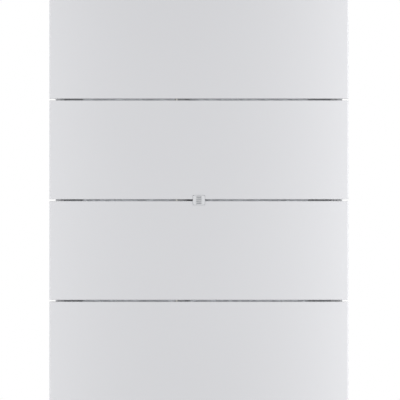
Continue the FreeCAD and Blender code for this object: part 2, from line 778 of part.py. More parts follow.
def make_covers():
    stud = new_body("cover_stud")
    # base disc bonded to the cover's inner face, then the stem and a round nose
    outline = [
        (0, 0), (7, 0), (7, 1.2), (2.5, 2), (2.5, 15),
        (3.2, 17), (3.2, 18.5), (2.4, 20.2), (0, 20.8),
    ]
    revolve(stud, polygon(new_sketch(stud, "XZ_Plane"), outline))
    for number in range(1, SLOTS + 1):
        make_cover(number)
        make_cover_studs(number, stud)


# --------------------------------------------------------------------------- charge gauge
GAUGE_LEAD_X = -36.0  # the lead goes down behind the shelf lips here


def make_gauge():
    """Bezel on the middle shelf's lip, with a window, four light bars and a lamp board."""
    level, base = seam(2), D.chassis_front
    wide, tall = D.gauge_width / 2, D.gauge_height / 2
    bezel = new_body("gauge_bezel")
    front = D.unit_depth + 0.6
    pad(bezel, centred(new_sketch(bezel, "XZ_Plane", base), wide, level, tall), front - base)
    dress(bezel, "Fillet", 3.0, lambda e: edge_runs(e, 1))
    dress(bezel, "Fillet", 0.8, lambda e: edge_at(e, 1, -front))
    glass_x, glass_z = D.window_width / 2 + 0.2, D.window_height / 2 + 0.2
    pocket(bezel, centred(new_sketch(bezel, "XZ_Plane", front), glass_x, level, glass_z), 2.4)
    dress(bezel, "Fillet", 1.8, lambda e: edge_runs(e, 1) and corner_at(e, glass_x))
    seat = 1.6  # the window rests on this much of a ledge all round
    pocket(bezel, centred(new_sketch(bezel, "XZ_Plane", front), glass_x - seat, level, glass_z - seat))
    lead = rectangle(new_sketch(bezel, "YZ_Plane"), -(base + 6), level - 2, -base + 1, level + 2)
    pocket(bezel, lead, wide + 1)
    node("gauge_bezel", bezel)

    bar_levels = [level + step for step in (7.35, 2.45, -2.45, -7.35)]
    window = new_body("gauge_window")
    pane = D.unit_depth - 1.8
    half_x, half_z = D.window_width / 2, D.window_height / 2
    pad(window, centred(new_sketch(window, "XZ_Plane", pane), half_x, level, half_z), 2.2)
    dress(window, "Fillet", 1.6, lambda e: edge_runs(e, 1))
    slits = new_sketch(window, "XZ_Plane")
    bar_half, bar_thick, slit_gap = 5.8, 1.1, 0.1
    for z in bar_levels:
        centred(slits, bar_half + slit_gap, z, bar_thick + slit_gap)
    pocket(window, slits)
    node("gauge_window", window)

    guide = new_body("gauge_light_bars")
    web = D.unit_depth - 7
    web_x, web_z = 6.2, 8.7
    pad(guide, centred(new_sketch(guide, "XZ_Plane", web), web_x, level, web_z), 1.5)
    bars = new_sketch(guide, "XZ_Plane", web + 1.5)
    for z in bar_levels:
        centred(bars, bar_half, z, bar_thick)
    pad(guide, bars, 6.1)
    node("gauge_light_bars", guide)

    board_back, board_front = -(base + 6.8), -(base + 8)
    board = [block("lamp_board", (-web_x, web_x), (board_front, board_back), (level - web_z, level + web_z))]
    board += [block("lamp", (-1, 1), (-(base + 9.4), -(base + 8)), (z - 0.8, z + 0.8)) for z in bar_levels]
    node("gauge_board", fuse("gauge_board", board))

    behind = -(base - 3.6)
    route = [
        (-5.6, -(base + 3), level), (-22, -(base + 3), level), (GAUGE_LEAD_X, behind, level),
        (GAUGE_LEAD_X, behind, box_top - 12), (GAUGE_LEAD_X, behind + 26, box_top - 20),
    ]
    node("gauge_lead", cable("gauge_lead", route, 1.2))


# --------------------------------------------------------------------------- battery modules
def make_cell():
    """Prismatic lithium iron phosphate cell, standing, with its two terminals and vent on top."""
    body = new_body("cell")
    half_x, half_y = D.cell_thickness / 2, D.cell_depth / 2
    pad(body, rectangle(new_sketch(body, "XY_Plane"), -half_x, -half_y, half_x, half_y), D.cell_height)
    dress(body, "Fillet", 2.0, lambda e: edge_runs(e, 2))
    posts = new_sketch(body, "XY_Plane", D.cell_height)
    for side in (-1, 1):
        circle(posts, 0, Size(44) * side, 7)
    pad(body, posts, 3)
    pocket(body, circle(new_sketch(body, "XY_Plane", D.cell_height), 0, 0, 8), 0.6)
    return body


def cell_x(index):
    return D.cell_pitch * (index - (CELLS - 1) / 2)


def make_end_cap():
    """Moulded right-hand end cap: a flange over the sleeve's end, and a shallow shell with ribs."""
    body = new_body("end_cap")
    inner, outer = D.sleeve_length / 2, D.module_width / 2
    front, back = -D.module_front, D.module_depth - D.module_front
    face, half, wall = -D.cap_front, D.module_height / 2, D.cap_wall
    pad(body, rectangle(new_sketch(body, "YZ_Plane", inner), front, -half, back, half), wall)
    pad(body, rectangle(new_sketch(body, "YZ_Plane", inner), face, -half, back, half), outer - inner)
    dress(body, "Fillet", 4.0, lambda e: edge_at(e, 0, outer))
    section = new_sketch(body, "YZ_Plane", inner)
    hollow = rectangle(section, face + wall, wall - half, back - wall, half - wall)
    pocket(body, hollow, outer - inner - wall, Reversed=True)
    ribs = new_sketch(body, "YZ_Plane", outer - wall)
    for z in (-60, -20, 20, 60):
        rectangle(ribs, face + wall, z - 1.2, back - wall, z + 1.2)
    pad(body, ribs, 20, Reversed=True)
    return body


def make_modules():
    """Three identical modules: extruded sleeve, two end caps, sixteen cells, their links and a board."""
    cell = make_cell()
    cap_right = make_end_cap()
    cap_left = mirror_x("end_cap_left", cap_right)

    sleeve = new_body("module_sleeve")
    front, back, half = -D.module_front, D.module_depth - D.module_front, D.module_height / 2
    wall = D.sleeve_wall
    outside = rectangle(new_sketch(sleeve, "YZ_Plane"), front, -half, back, half)
    pad(sleeve, outside, D.sleeve_length, Midplane=True)
    dress(sleeve, "Fillet", 4.0, lambda e: edge_runs(e, 0))
    flutes = new_sketch(sleeve, "YZ_Plane")
    for step in range(-2, 3):
        rectangle(flutes, front - 1, Size(36) * step - 1.5, front + 0.9, Size(36) * step + 1.5)
    pocket(sleeve, flutes)
    bore = rectangle(new_sketch(sleeve, "YZ_Plane"), front + wall, wall - half, back - wall, half - wall)
    pocket(sleeve, bore)
    dress(sleeve, "Fillet", 1.5, lambda e: edge_runs(e, 0) and edge_at(e, 1, back - wall))

    link = new_body("cell_link")
    plate = obround(new_sketch(link, "XY_Plane"), 0, 0, D.cell_pitch + 16, 16)
    pad(link, plate, 2)

    stack_end = cell_x(CELLS - 1) + D.cell_thickness / 2
    across = (module_mid - 62, module_mid + 62)
    end_plate = block("end_plate", (stack_end, stack_end + 5), across, (-100, 84))
    end_plate_left = mirror_x("end_plate_left", end_plate)
    half_pad = (D.cell_pitch - D.cell_thickness) / 2
    spacer = block("cell_pad", (-half_pad, half_pad), (-60, 60), (8, D.cell_height - 8))

    cap_screw = new_body("cap_screw")
    outline = [(0, 0), (3.5, 0), (3.1, 1.4), (1.8, 2.1), (0, 2.2)]
    revolve(cap_screw, polygon(new_sketch(cap_screw, "XZ_Plane"), outline))
    pocket(cap_screw, hexagon(new_sketch(cap_screw, "XY_Plane", 2.2), 2.5), 1.2)

    cells, pads, links, boards, end_plates, screws = [], [], [], [], [], []
    for number in range(1, MODULES + 1):
        foot = seam(number) + module_rise
        middle = foot + D.module_height / 2
        node(f"module_sleeve_{number}", group(f"module_sleeve_{number}", [copy_at(sleeve, 0, 0, middle)]))
        caps = [copy_at(cap_right, 0, 0, middle), copy_at(cap_left, 0, 0, middle)]
        node(f"module_end_caps_{number}", group(f"module_end_caps_{number}", caps))
        base = foot + D.sleeve_wall
        cells += [copy_at(cell, cell_x(i), module_mid, base) for i in range(CELLS)]
        top = base + D.cell_height + 3
        for i in range(CELLS - 1):
            between = (cell_x(i) + cell_x(i + 1)) / 2
            pads.append(copy_at(spacer, between, module_mid, base))
            links.append(copy_at(link, between, module_mid + (44 if i % 2 else -44), top))
        boards.append(module_board(number, top + 2))
        end_plates += [copy_at(end_plate, 0, 0, middle), copy_at(end_plate_left, 0, 0, middle)]
        for side, turn in ((1, RIGHTWARD), (-1, RIGHTWARD.inverted())):
            for y in (-136, -42):
                for z in (-96, 96):
                    screws.append(copy_at(cap_screw, D.module_width / 2 * side, y, middle + z, turn))
    node("battery_cells", group("battery_cells", cells))
    node("cell_pads", group("cell_pads", pads))
    node("cell_links", group("cell_links", links))
    node("cell_boards", group("cell_boards", boards))
    node("cell_end_plates", group("cell_end_plates", end_plates))
    return screws


def module_board(number, level):
    """Cell monitoring board that lies on the cell links."""
    centre = module_mid
    pieces = [
        block(f"board_{number}", (-150, 150), (centre - 38, centre + 38), (level, level + 1.6)),
        block(f"balance_{number}", (-120, -40), (centre - 20, centre + 20), (level + 1.6, level + 5)),
        block(f"processor_{number}", (20, 44), (centre - 12, centre + 12), (level + 1.6, level + 3.4)),
        block(f"header_{number}", (110, 145), (centre - 8, centre + 8), (level + 1.6, level + 8)),
    ]
    return fuse(f"cell_board_{number}", pieces)


# --------------------------------------------------------------------------- links between modules
POWER_X = (-332.0, -315.0)  # positive and negative columns in the left end bay
DATA_X = 324.0  # data column in the right end bay


def connector_levels():
    """Height of the link connectors: one on each module, and one on the control box."""
    modules = [seam(number) + module_rise + D.module_height / 2 - 20 for number in range(1, MODULES + 1)]
    return modules + [box_top - 62]


def make_links():
    """Power and data links that run down the end bays from module to module to the control box."""
    face = -D.cap_front
    levels = connector_levels()
    socket = new_body("power_socket")
    wall = [(0, 0), (7.5, 0), (7.5, 1.6), (6.5, 2.2), (6.5, 5), (0, 5)]
    revolve(socket, polygon(new_sketch(socket, "XZ_Plane"), wall))
    sockets = [copy_at(socket, x, face, z, FORWARD) for z in levels for x in POWER_X]
    data_socket = block("data_socket", (-9, 9), (-4, 0), (-8, 8))
    sockets += [copy_at(data_socket, DATA_X, face, z) for z in levels]
    node("link_sockets", group("link_sockets", sockets))

    plug = new_body("power_plug")
    pad(plug, rectangle(new_sketch(plug, "XZ_Plane"), -7.5, -15, 7.5, 15), 14)
    dress(plug, "Fillet", 3.0, lambda e: edge_runs(e, 1))
    dress(plug, "Fillet", 1.5, lambda e: edge_at(e, 1, -14))
    plug_back = face - 5
    plugs = [copy_at(plug, x, plug_back, z) for z in levels for x in POWER_X]
    node("power_plugs", group("power_plugs", plugs))

    cables = []
    line = plug_back - 7
    for upper, lower in zip(levels, levels[1:]):
        for x in POWER_X:
            high, low = upper - 15, lower + 15
            run = (high - low) / 6
            points = [(x, line, high), (x, line, high - run), (x - 1.6, line, high - run * 2.2),
                      (x - 1.6, line, low + run * 2.2), (x, line, low + run), (x, line, low)]
            cables.append(cable("power_link", points, D.power_cable_radius))
    node("power_link_cables", group("power_link_cables", cables))

    leads, line = [], face - 9
    for upper, lower in zip(levels, levels[1:]):
        high, low = upper - 9, lower + 9
        run = (high - low) / 6
        points = [(DATA_X, line, high), (DATA_X, line, high - run), (DATA_X + 3, line, high - run * 2.2),
                  (DATA_X + 3, line, low + run * 2.2), (DATA_X, line, low + run), (DATA_X, line, low)]
        leads.append(cable("data_link", points, D.data_cable_radius))
    boots = [
        block("data_boot", (DATA_X - 6, DATA_X + 6), (face - 14, face - 4), (z - 9, z + 9)) for z in levels
    ]
    node("data_link_cables", group("data_link_cables", leads + boots))


# --------------------------------------------------------------------------- control box
def make_control_case():
    """Steel tray that holds the switchgear, open at the front, and its lid. Returns the lid's screws."""
    case = new_body("control_case")
    wall, floor = D.box_sheet, -D.floor_height
    front, back = D.cap_front - wall, D.rear_depth + D.chassis_sheet * 2
    box_middle, box_half = (floor + box_top) / 2, (box_top - floor) / 2
    pad(case, centred(new_sketch(case, "XZ_Plane", back), box_side, box_middle, box_half), front - back)
    hollow = centred(new_sketch(case, "XZ_Plane", front), box_side - wall, box_middle, box_half - wall)
    pocket(case, hollow, front - back - wall)
    glands = new_sketch(case, "XY_Plane", floor + wall)
    for x, thread, _, _ in gland_places():
        circle(glands, x, -D.gland_depth, thread + 0.3)
    pocket(case, glands, wall + 1)
    controls = new_sketch(case, "YZ_Plane", box_side)
    circle(controls, -D.controls_depth, -D.isolator_drop, 9.2)
    circle(controls, -D.controls_depth, -D.button_drop, 8.2)
    pocket(case, controls, wall + 1)
    node("control_case", case)

    lid = new_body("control_lid")
    outline = rectangle(new_sketch(lid, "XZ_Plane", front), -box_side, floor, box_side, box_top)
    pad(lid, outline, wall)
    dress(lid, "Fillet", 3.0, lambda e: edge_runs(e, 1))
    notch = new_sketch(lid, "XZ_Plane", front)
    rectangle(notch, GAUGE_LEAD_X - 5, box_top - 26, GAUGE_LEAD_X + 5, box_top + 1)
    pocket(lid, notch)
    node("control_lid", lid)

    screw = new_body("lid_screw")
    revolve(screw, polygon(new_sketch(screw, "XZ_Plane"), [(0, 0), (4, 0), (3.6, 1.6), (2, 2.4), (0, 2.5)]))
    pocket(screw, hexagon(new_sketch(screw, "XY_Plane", 2.5), 2.5), 1.4)
    return [
        copy_at(screw, x, -D.cap_front, z, FORWARD)
        for x in (-280, -95, 95, 280)
        for z in (floor + 14, box_top - 14)
    ]


def make_isolator():
    """Rotary isolator on the right wall of the box, turned from outside through the rail's window."""
    y, z = -D.controls_depth, -D.isolator_drop
    inside = box_side - D.box_sheet
    bore = D.shaft_radius + D.running_clearance
    housing = new_body("isolator_housing")
    pad(housing, rectangle(new_sketch(housing, "XY_Plane"), -28, -24, 28, 24), 46)
    dress(housing, "Fillet", 3.0, lambda e: edge_runs(e, 2))
    nose = circle(new_sketch(housing, "XY_Plane", 46), 0, 0, 9)
    pad(housing, nose, D.box_sheet + 1.5)
    pocket(housing, circle(new_sketch(housing, "XY_Plane", 46 + 4), 0, 0, bore), 30)
    place(housing, inside - 46, y, z, RIGHTWARD)
    node("isolator_housing", housing)

    shaft = new_body("isolator_shaft")
    pad(shaft, circle(new_sketch(shaft, "XY_Plane"), 0, 0, D.shaft_radius), 38)
    dress(shaft, "Chamfer", 0.8, lambda e: edge_at(e, 2, 38))
    place(shaft, inside - 22, y, z, RIGHTWARD)
    node("isolator_shaft", shaft)

    knob = new_body("isolator_knob")
    radius = D.knob_radius
    skirt = polygon(
        new_sketch(knob, "XZ_Plane"),
        [(0, 0), (radius, 0), (radius - 0.6, 3.2), (radius - 2.0, 4.2), (0, 4.2)],
    )
    revolve(knob, skirt)
    bar = obround(new_sketch(knob, "XY_Plane", 3), 0, 0, radius * 2 - 5, 10)
    pad(knob, bar, 15)
    dress(knob, "Fillet", 1.5, lambda e: edge_at(e, 2, 18))
    pocket(knob, circle(new_sketch(knob, "XY_Plane"), 0, 0, D.shaft_radius), 12.5, Reversed=True)
    place(knob, box_side + 3, y, z, RIGHTWARD)
    node("isolator_knob", knob)

    plate = new_body("control_fascia")
    pad(plate, rectangle(new_sketch(plate, "XY_Plane"), -70, -30, 70, 30), 1.5)
    dress(plate, "Fillet", 5.0, lambda e: edge_runs(e, 2))
    reach = (D.button_drop - D.isolator_drop) / 2
    holes = new_sketch(plate, "XY_Plane")
    circle(holes, -reach, 0, 9.2)
    circle(holes, reach, 0, 8.2)
    pocket(plate, holes)
    place(plate, box_side, y, -(D.isolator_drop + D.button_drop) / 2, RIGHTWARD)
    node("control_fascia", plate)


def make_start_button():
    """Push button that wakes the unit: a sprung plunger in a threaded bushing."""
    y, z = -D.controls_depth, -D.button_drop
    face = box_side + 1.5
    bore = D.plunger_radius + D.running_clearance
    bushing = new_body("button_bushing")
    wall = [
        (bore, -16), (8, -16), (8, 0), (10.5, 0),
        (10.5, 1.4), (9.6, 2.4), (bore + 0.5, 2.4), (bore, 1.9),
    ]
    revolve(bushing, polygon(new_sketch(bushing, "XZ_Plane"), wall))
    place(bushing, face, y, z, RIGHTWARD)

    nut = new_body("button_nut")
    pad(nut, hexagon(new_sketch(nut, "XY_Plane"), 20), 3.5)
    pocket(nut, circle(new_sketch(nut, "XY_Plane"), 0, 0, 8))
    place(nut, box_side - D.box_sheet - 3.5, y, z, RIGHTWARD)
    node("start_button_bushing", group("start_button_bushing", [bushing, nut]))

    plunger = new_body("start_button")
    radius = D.plunger_radius
    outline = [
        (0, -28.5), (2.5, -28.5), (2.5, -19), (7, -19), (7, -16.5), (radius, -16.5), (radius, 4),
        (radius - 0.8, 4.8), (0, 5.1),
    ]
    revolve(plunger, polygon(new_sketch(plunger, "XZ_Plane"), outline))
    place(plunger, face, y, z, RIGHTWARD)
    node("start_button", plunger)

    switch = new_body("start_button_switch")
    pad(switch, rectangle(new_sketch(switch, "XY_Plane"), -11, -9, 11, 9), 14)
    dress(switch, "Fillet", 1.0, lambda e: edge_runs(e, 2))
    pocket(switch, circle(new_sketch(switch, "XY_Plane", 14), 0, 0, 5.5), 2)
    place(switch, face - 43, y, z, RIGHTWARD)
    node("start_button_switch", switch)

    spring_start, spring_end, turns, coil, wire = -31.0, -19.0, 5, 4.2, 0.45
    height = spring_end - spring_start - 2 * wire
    helix = Part.makeHelix(height / turns, height, coil)
    ring = Part.Wire(Part.makeCircle(wire, Vector(coil, 0, 0), Vector(0, 1, 0.1)))
    spring = doc.addObject("Part::Feature", "start_button_spring")
    spring.Shape = Part.Wire(helix).makePipeShell([ring], True, True)
    place(spring, face + spring_start + wire, y, z, RIGHTWARD)
    node("start_button_spring", spring)


def make_switchgear():
    """Two main contactors, the main fuse in its holder and the control board, on the back of the case."""
    back = -(D.rear_depth + D.chassis_sheet * 2 + D.box_sheet)
    floor = -D.floor_height + D.box_sheet
    contactors = []
    for x in (-170, -90):
        base = block("contactor_base", (x, x + 62), (back - 66, back), (floor + 78, floor + 150))
        posts = [
            rod("contactor_post", x + 16 + 30 * i, back - 66, floor + 114, 5, 9, FORWARD) for i in (0, 1)
        ]
        contactors.append(fuse("contactor", [base] + posts))
    node("main_contactors", group("main_contactors", contactors))

    holder = block("fuse_base", (-290, -200), (back - 18, back), (floor + 92, floor + 128))
    saddles = [
        block("fuse_saddle", (x, x + 12), (back - 40, back - 18), (floor + 98, floor + 122))
        for x in (-286, -216)
    ]
    barrel = rod("fuse_barrel", -274, back - 34, floor + 110, 15, 58, RIGHTWARD)
    node("main_fuse", group("main_fuse", [fuse("fuse_holder", [holder] + saddles), barrel]))

    board = [
        block("control_pcb", (0, 230), (back - 13.6, back - 12), (floor + 40, floor + 180)),
        block("control_relays", (10, 90), (back - 32, back - 13.6), (floor + 140, floor + 172)),
        block("control_processor", (120, 148), (back - 15.6, back - 13.6), (floor + 100, floor + 128)),
        block("control_terminals", (60, 180), (back - 26, back - 13.6), (floor + 44, floor + 58)),
        block("control_supply", (170, 222), (back - 40, back - 13.6), (floor + 76, floor + 120)),
    ]
    board += [
        rod("board_pillar", x, back, z, 3, 12, FORWARD) for x in (8, 222) for z in (floor + 48, floor + 172)
    ]
    node("control_board", fuse("control_board", board))

    terminals = [
        block("output_terminal", (x, x + 28), (back - 44, back), (floor + 22, floor + 58))
        for x in (-154, -74)
    ]
    bar_front, bar_back = back - 47, back - 44
    bars = [
        block("output_bar", (x, x + 16), (bar_front, bar_back), (floor + 30, floor + 74))
        for x in (-148, -68)
    ]
    bars.append(block("fuse_bar", (-204, -170), (back - 66, back - 63), (floor + 106, floor + 118)))
    node("output_terminals", group("output_terminals", terminals + bars))


def make_glands():
    """Cable glands through the floor: body, clamping ring, dome nut below and lock nut inside."""
    bodies, nuts = [], []
    under = -D.floor_height - D.chassis_sheet
    for index, (x, thread, bore, flats) in enumerate(gland_places()):
        body = new_body(f"gland_body_{index}")
        tall = D.chassis_sheet + D.box_sheet + 7
        barrel = thread - 1.4
        pad(body, hexagon(new_sketch(body, "XY_Plane"), flats), 5)
        dress(body, "Chamfer", 0.8, lambda e: edge_at(e, 2, 5) or edge_at(e, 2, 0))
        pad(body, circle(new_sketch(body, "XY_Plane"), 0, 0, thread), tall, Reversed=True)
        pad(body, circle(new_sketch(body, "XY_Plane", 5), 0, 0, barrel), 8)
        pocket(body, circle(new_sketch(body, "XY_Plane"), 0, 0, bore))
        place(body, x, -D.gland_depth, under, DOWNWARD)
        bodies.append(body)

        ring = new_body(f"gland_ring_{index}")
        wall = [(bore + 0.5, 13), (barrel - 0.1, 13), (barrel - 0.4, 18), (bore + 0.8, 18)]
        revolve(ring, polygon(new_sketch(ring, "XZ_Plane"), wall))
        place(ring, x, -D.gland_depth, under, DOWNWARD)
        nuts.append(ring)

        dome = new_body(f"gland_dome_{index}")
        rim = thread + 2.6
        wall = [
            (barrel + 0.1, 6), (rim, 6), (rim, 16), (rim - 1.2, 20), (bore + 2.2, 23.5), (bore + 1.0, 23.5),
            (bore + 1.0, 18.2), (barrel + 0.1, 18.2),
        ]
        revolve(dome, polygon(new_sketch(dome, "XZ_Plane"), wall))
        flutes = new_sketch(dome, "XY_Plane", 6)
        for step in range(12):
            angle = math.radians(30 * step)
            circle(flutes, (rim + 0.9) * math.cos(angle), (rim + 0.9) * math.sin(angle), 1.6)
        pocket(dome, flutes, 9.5, Reversed=True)
        place(dome, x, -D.gland_depth, under, DOWNWARD)
        nuts.append(dome)

        lock = new_body(f"gland_lock_nut_{index}")
        pad(lock, hexagon(new_sketch(lock, "XY_Plane"), flats), 4.5)
        pocket(lock, circle(new_sketch(lock, "XY_Plane"), 0, 0, thread))
        place(lock, x, -D.gland_depth, -D.floor_height + D.box_sheet)
        nuts.append(lock)
    node("gland_bodies", group("gland_bodies", bodies))
    node("gland_nuts_and_rings", group("gland_nuts_and_rings", nuts))


def make_earth_stud():
    """M6 stud pressed into the floor from above, for the earth wire's ring and nut."""
    stud = new_body("earth_stud")
    pad(stud, circle(new_sketch(stud, "XY_Plane"), 0, 0, D.earth_stud_radius + 1.5), D.chassis_sheet)
    shank = circle(new_sketch(stud, "XY_Plane", D.chassis_sheet), 0, 0, D.earth_stud_radius)
    pad(stud, shank, 20)
    dress(stud, "Chamfer", 0.6, lambda e: edge_at(e, 2, D.chassis_sheet + 20))
    place(stud, EARTH_STUD_X, -D.gland_depth, -D.floor_height, DOWNWARD)
    node("earth_stud", stud)


def check_and_write():
    doc.recompute()
    for item in doc.Objects:
        if {"Invalid", "Error"} & set(item.State):
            raise RuntimeError(f"{item.Label} is {item.State}")
    os.makedirs("parts", exist_ok=True)
    for old in os.listdir("parts"):
        os.remove(os.path.join("parts", old))
    for piece in NODES:
        shape = piece.Shape
        if shape.isNull() or not shape.isValid() or not shape.Solids:
            raise RuntimeError(f"{piece.Label} has no valid solid")
        shape.exportStep(f"parts/{piece.Label}.step")
        print(f"{piece.Label}: {len(shape.Solids)} solids, {shape.Volume / 1000:.1f} cm3")
    print(len(NODES), "nodes")


make_wall_rails()
make_hooks()
make_rear_panel()
make_side_rails()
make_top_cap()
make_shelves()
make_bottom_plate()
make_rivets()
make_clip_sockets()
make_covers()
make_gauge()
cap_screws = make_modules()
make_links()
lid_screws = make_control_case()
node("panel_screws", group("panel_screws", cap_screws + lid_screws))
make_isolator()
make_start_button()
make_switchgear()
make_glands()
make_earth_stud()
check_and_write()
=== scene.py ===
import math

import bmesh
import bpy
from mathutils import Matrix, Vector


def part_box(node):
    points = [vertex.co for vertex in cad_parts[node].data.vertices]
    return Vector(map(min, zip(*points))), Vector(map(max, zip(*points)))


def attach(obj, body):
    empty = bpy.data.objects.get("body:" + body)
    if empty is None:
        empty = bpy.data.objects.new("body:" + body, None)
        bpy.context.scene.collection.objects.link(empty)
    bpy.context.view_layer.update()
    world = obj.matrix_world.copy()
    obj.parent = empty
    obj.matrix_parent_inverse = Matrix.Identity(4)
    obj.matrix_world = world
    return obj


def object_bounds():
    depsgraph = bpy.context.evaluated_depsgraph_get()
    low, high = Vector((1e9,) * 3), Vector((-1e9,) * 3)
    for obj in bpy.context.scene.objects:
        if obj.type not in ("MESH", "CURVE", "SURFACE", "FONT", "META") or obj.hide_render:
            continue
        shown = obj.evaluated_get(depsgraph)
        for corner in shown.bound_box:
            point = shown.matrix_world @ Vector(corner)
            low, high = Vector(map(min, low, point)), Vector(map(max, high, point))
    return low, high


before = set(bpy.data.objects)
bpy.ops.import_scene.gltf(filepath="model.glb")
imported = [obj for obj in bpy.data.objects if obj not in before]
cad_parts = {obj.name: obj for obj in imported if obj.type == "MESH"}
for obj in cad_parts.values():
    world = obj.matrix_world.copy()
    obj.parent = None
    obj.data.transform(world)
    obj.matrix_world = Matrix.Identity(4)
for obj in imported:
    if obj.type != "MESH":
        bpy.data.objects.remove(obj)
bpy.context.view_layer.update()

# Wall rails, hooks and their screws
# Two folded rails bolted to the wall. The hooks and feet are spot-welded to the chassis and hang on them,
# and two screws from below lock the feet. All are mild steel, cut, folded and then zinc-plated.
ZINC = "#b7babe"
ZINC_SHADE = "#a3a7ac"
ZINC_BLOTCH = 0.035  # m, cloudy patches left by the plating bath
ROLLING_MARK = 0.0009  # m, drawn coarser than the real rolling marks so that they show


def linear(colour):
    """An sRGB hex colour as linear RGBA."""
    channels = [int(colour[i:i + 2], 16) / 255 for i in (1, 3, 5)]
    return [c / 12.92 if c <= 0.04045 else ((c + 0.055) / 1.055) ** 2.4 for c in channels] + [1.0]


def add(tree, kind, inputs=None, **settings):
    """Adds a node. An input is linked if it is given a socket, and set if it is given a value."""
    made = tree.nodes.new(kind)
    for name, value in settings.items():
        setattr(made, name, value)
    for key, value in (inputs or {}).items():
        if isinstance(value, bpy.types.NodeSocket):
            tree.links.new(value, made.inputs[key])
        else:
            made.inputs[key].default_value = value
    return made


def new_material(name):
    """An empty material, with its tree and the piece's own coordinates in metres."""
    material = bpy.data.materials.new(name)
    material.use_nodes = True
    tree = material.node_tree
    tree.nodes.clear()
    return material, tree, add(tree, "ShaderNodeTexCoord").outputs["Object"]


def close_material(tree, **inputs):
    """Ends a material's tree in one Principled shader."""
    named = {key.replace("_", " "): value for key, value in inputs.items()}
    shader = add(tree, "ShaderNodeBsdfPrincipled", named)
    add(tree, "ShaderNodeOutputMaterial", {"Surface": shader.outputs["BSDF"]})


def finish(material, *names):
    """Gives CAD pieces their material."""
    for name in names:
        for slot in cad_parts[name].material_slots:
            slot.material = material


def zinc_plated_steel():
    # Bright zinc: a cool metal with cloudy patches and a fine rolling grain under the plating.
    material, tree, place = new_material("zinc_plated_steel")
    cloud = add(tree, "ShaderNodeTexNoise", {"Vector": place, "Scale": 1 / ZINC_BLOTCH, "Detail": 3.0})
    grain = add(tree, "ShaderNodeTexNoise", {"Vector": place, "Scale": 1 / ROLLING_MARK, "Detail": 1.0})
    colour = add(tree, "ShaderNodeMix", {"Factor": cloud.outputs["Fac"]}, data_type="RGBA")
    colour.inputs[6].default_value = linear(ZINC)
    colour.inputs[7].default_value = linear(ZINC_SHADE)
    rough = add(tree, "ShaderNodeMapRange", {"Value": cloud.outputs["Fac"], "To Min": 0.3, "To Max": 0.46})
    bump = add(tree, "ShaderNodeBump", {"Height": grain.outputs["Fac"], "Strength": 0.12, "Distance": 0.0002})
    close_material(
        tree, Base_Color=colour.outputs[2], Metallic=1.0, Roughness=rough.outputs["Result"],
        Normal=bump.outputs["Normal"],
    )
    return material


zinc = zinc_plated_steel()
finish(zinc, "wall_rail_upper", "wall_rail_lower", "hanging_brackets", "securing_screws")

# Chassis
# Rear panel, two side channels, a vented top cap and a floor, in 2 mm steel sheet, folded and riveted.
# They are powder-coated after folding, in a fine-textured light grey that hides scratches.
CHASSIS_GREY = "#dddee0"
TEXTURE_GRAIN = 0.0011  # m, the leathery grain of a fine-textured powder
HANDLING = 0.25  # m, very broad, faint changes of gloss


def textured_powder_coat():
    # Polyester powder with a fine texture: matt, with a grain that breaks up every highlight.
    material, tree, place = new_material("textured_powder_coat")
    grain = add(tree, "ShaderNodeTexNoise", {"Vector": place, "Scale": 1 / TEXTURE_GRAIN, "Detail": 2.0})
    broad = add(tree, "ShaderNodeTexNoise", {"Vector": place, "Scale": 1 / HANDLING, "Detail": 2.0})
    rough = add(tree, "ShaderNodeMapRange", {"Value": broad.outputs["Fac"], "To Min": 0.5, "To Max": 0.62})
    bump = add(tree, "ShaderNodeBump", {"Height": grain.outputs["Fac"], "Strength": 0.3, "Distance": 0.0003})
    close_material(
        tree, Base_Color=linear(CHASSIS_GREY), Roughness=rough.outputs["Result"],
        Normal=bump.outputs["Normal"],
    )
    return material


chassis_coat = textured_powder_coat()
finish(chassis_coat, "rear_panel", "side_rail_left", "side_rail_right", "top_cap", "bottom_plate",
       "control_lid")
finish(zinc, "chassis_rivets", "panel_screws", "earth_stud")

# Spot welds
# Rows of spot welds join the rear panel to the flanges of the side rails and to the hooks and feet; only the
# two rows down the side edges of the rear panel are drawn.
# Each leaves a shallow ring in the sheet, painted over with the rest.
WELD_RADIUS = 0.0024
WELD_RIM = 0.00035
WELD_PITCH = 0.055
WELD_EDGE = 0.0065  # from the edge of the rear panel to its row of welds
CHASSIS_SHEET = 0.002


def new_tree(name, *sizes):
    """An empty Geometry Nodes tree with named size inputs, and its input and output nodes."""
    tree = bpy.data.node_groups.new(name, "GeometryNodeTree")
    for size in sizes:
        tree.interface.new_socket(size, in_out="INPUT", socket_type="NodeSocketFloat")
    tree.interface.new_socket("Geometry", in_out="OUTPUT", socket_type="NodeSocketGeometry")
    return tree, tree.nodes.new("NodeGroupInput").outputs


def close_tree(tree, geometry, material):
    """Ends a Geometry Nodes tree in real geometry with its material."""
    real = add(tree, "GeometryNodeRealizeInstances", {"Geometry": geometry})
    coated = add(tree, "GeometryNodeSetMaterial", {"Geometry": real.outputs[0], "Material": material})
    add(tree, "NodeGroupOutput", {0: coated.outputs[0]})


def grow(name, tree, sizes):
    """Runs a tree with its sizes, and keeps the result as a plain mesh object at the origin."""
    host = bpy.data.objects.new(name, bpy.data.meshes.new(name))
    bpy.context.scene.collection.objects.link(host)
    modifier = host.modifiers.new("grow", "NODES")
    modifier.node_group = tree
    for item in tree.interface.items_tree:
        if item.item_type == "SOCKET" and item.in_out == "INPUT":
            modifier[item.identifier] = sizes[item.name]
    graph = bpy.context.evaluated_depsgraph_get()
    mesh = bpy.data.meshes.new_from_object(host.evaluated_get(graph))
    host.modifiers.clear()
    host.data = mesh
    return host


def smooth(piece, angle=35):
    """Rounds the shading everywhere but across edges sharper than the angle, in degrees."""
    piece.data.polygons.foreach_set("use_smooth", [True] * len(piece.data.polygons))
    piece.data.set_sharp_from_angle(angle=math.radians(angle))


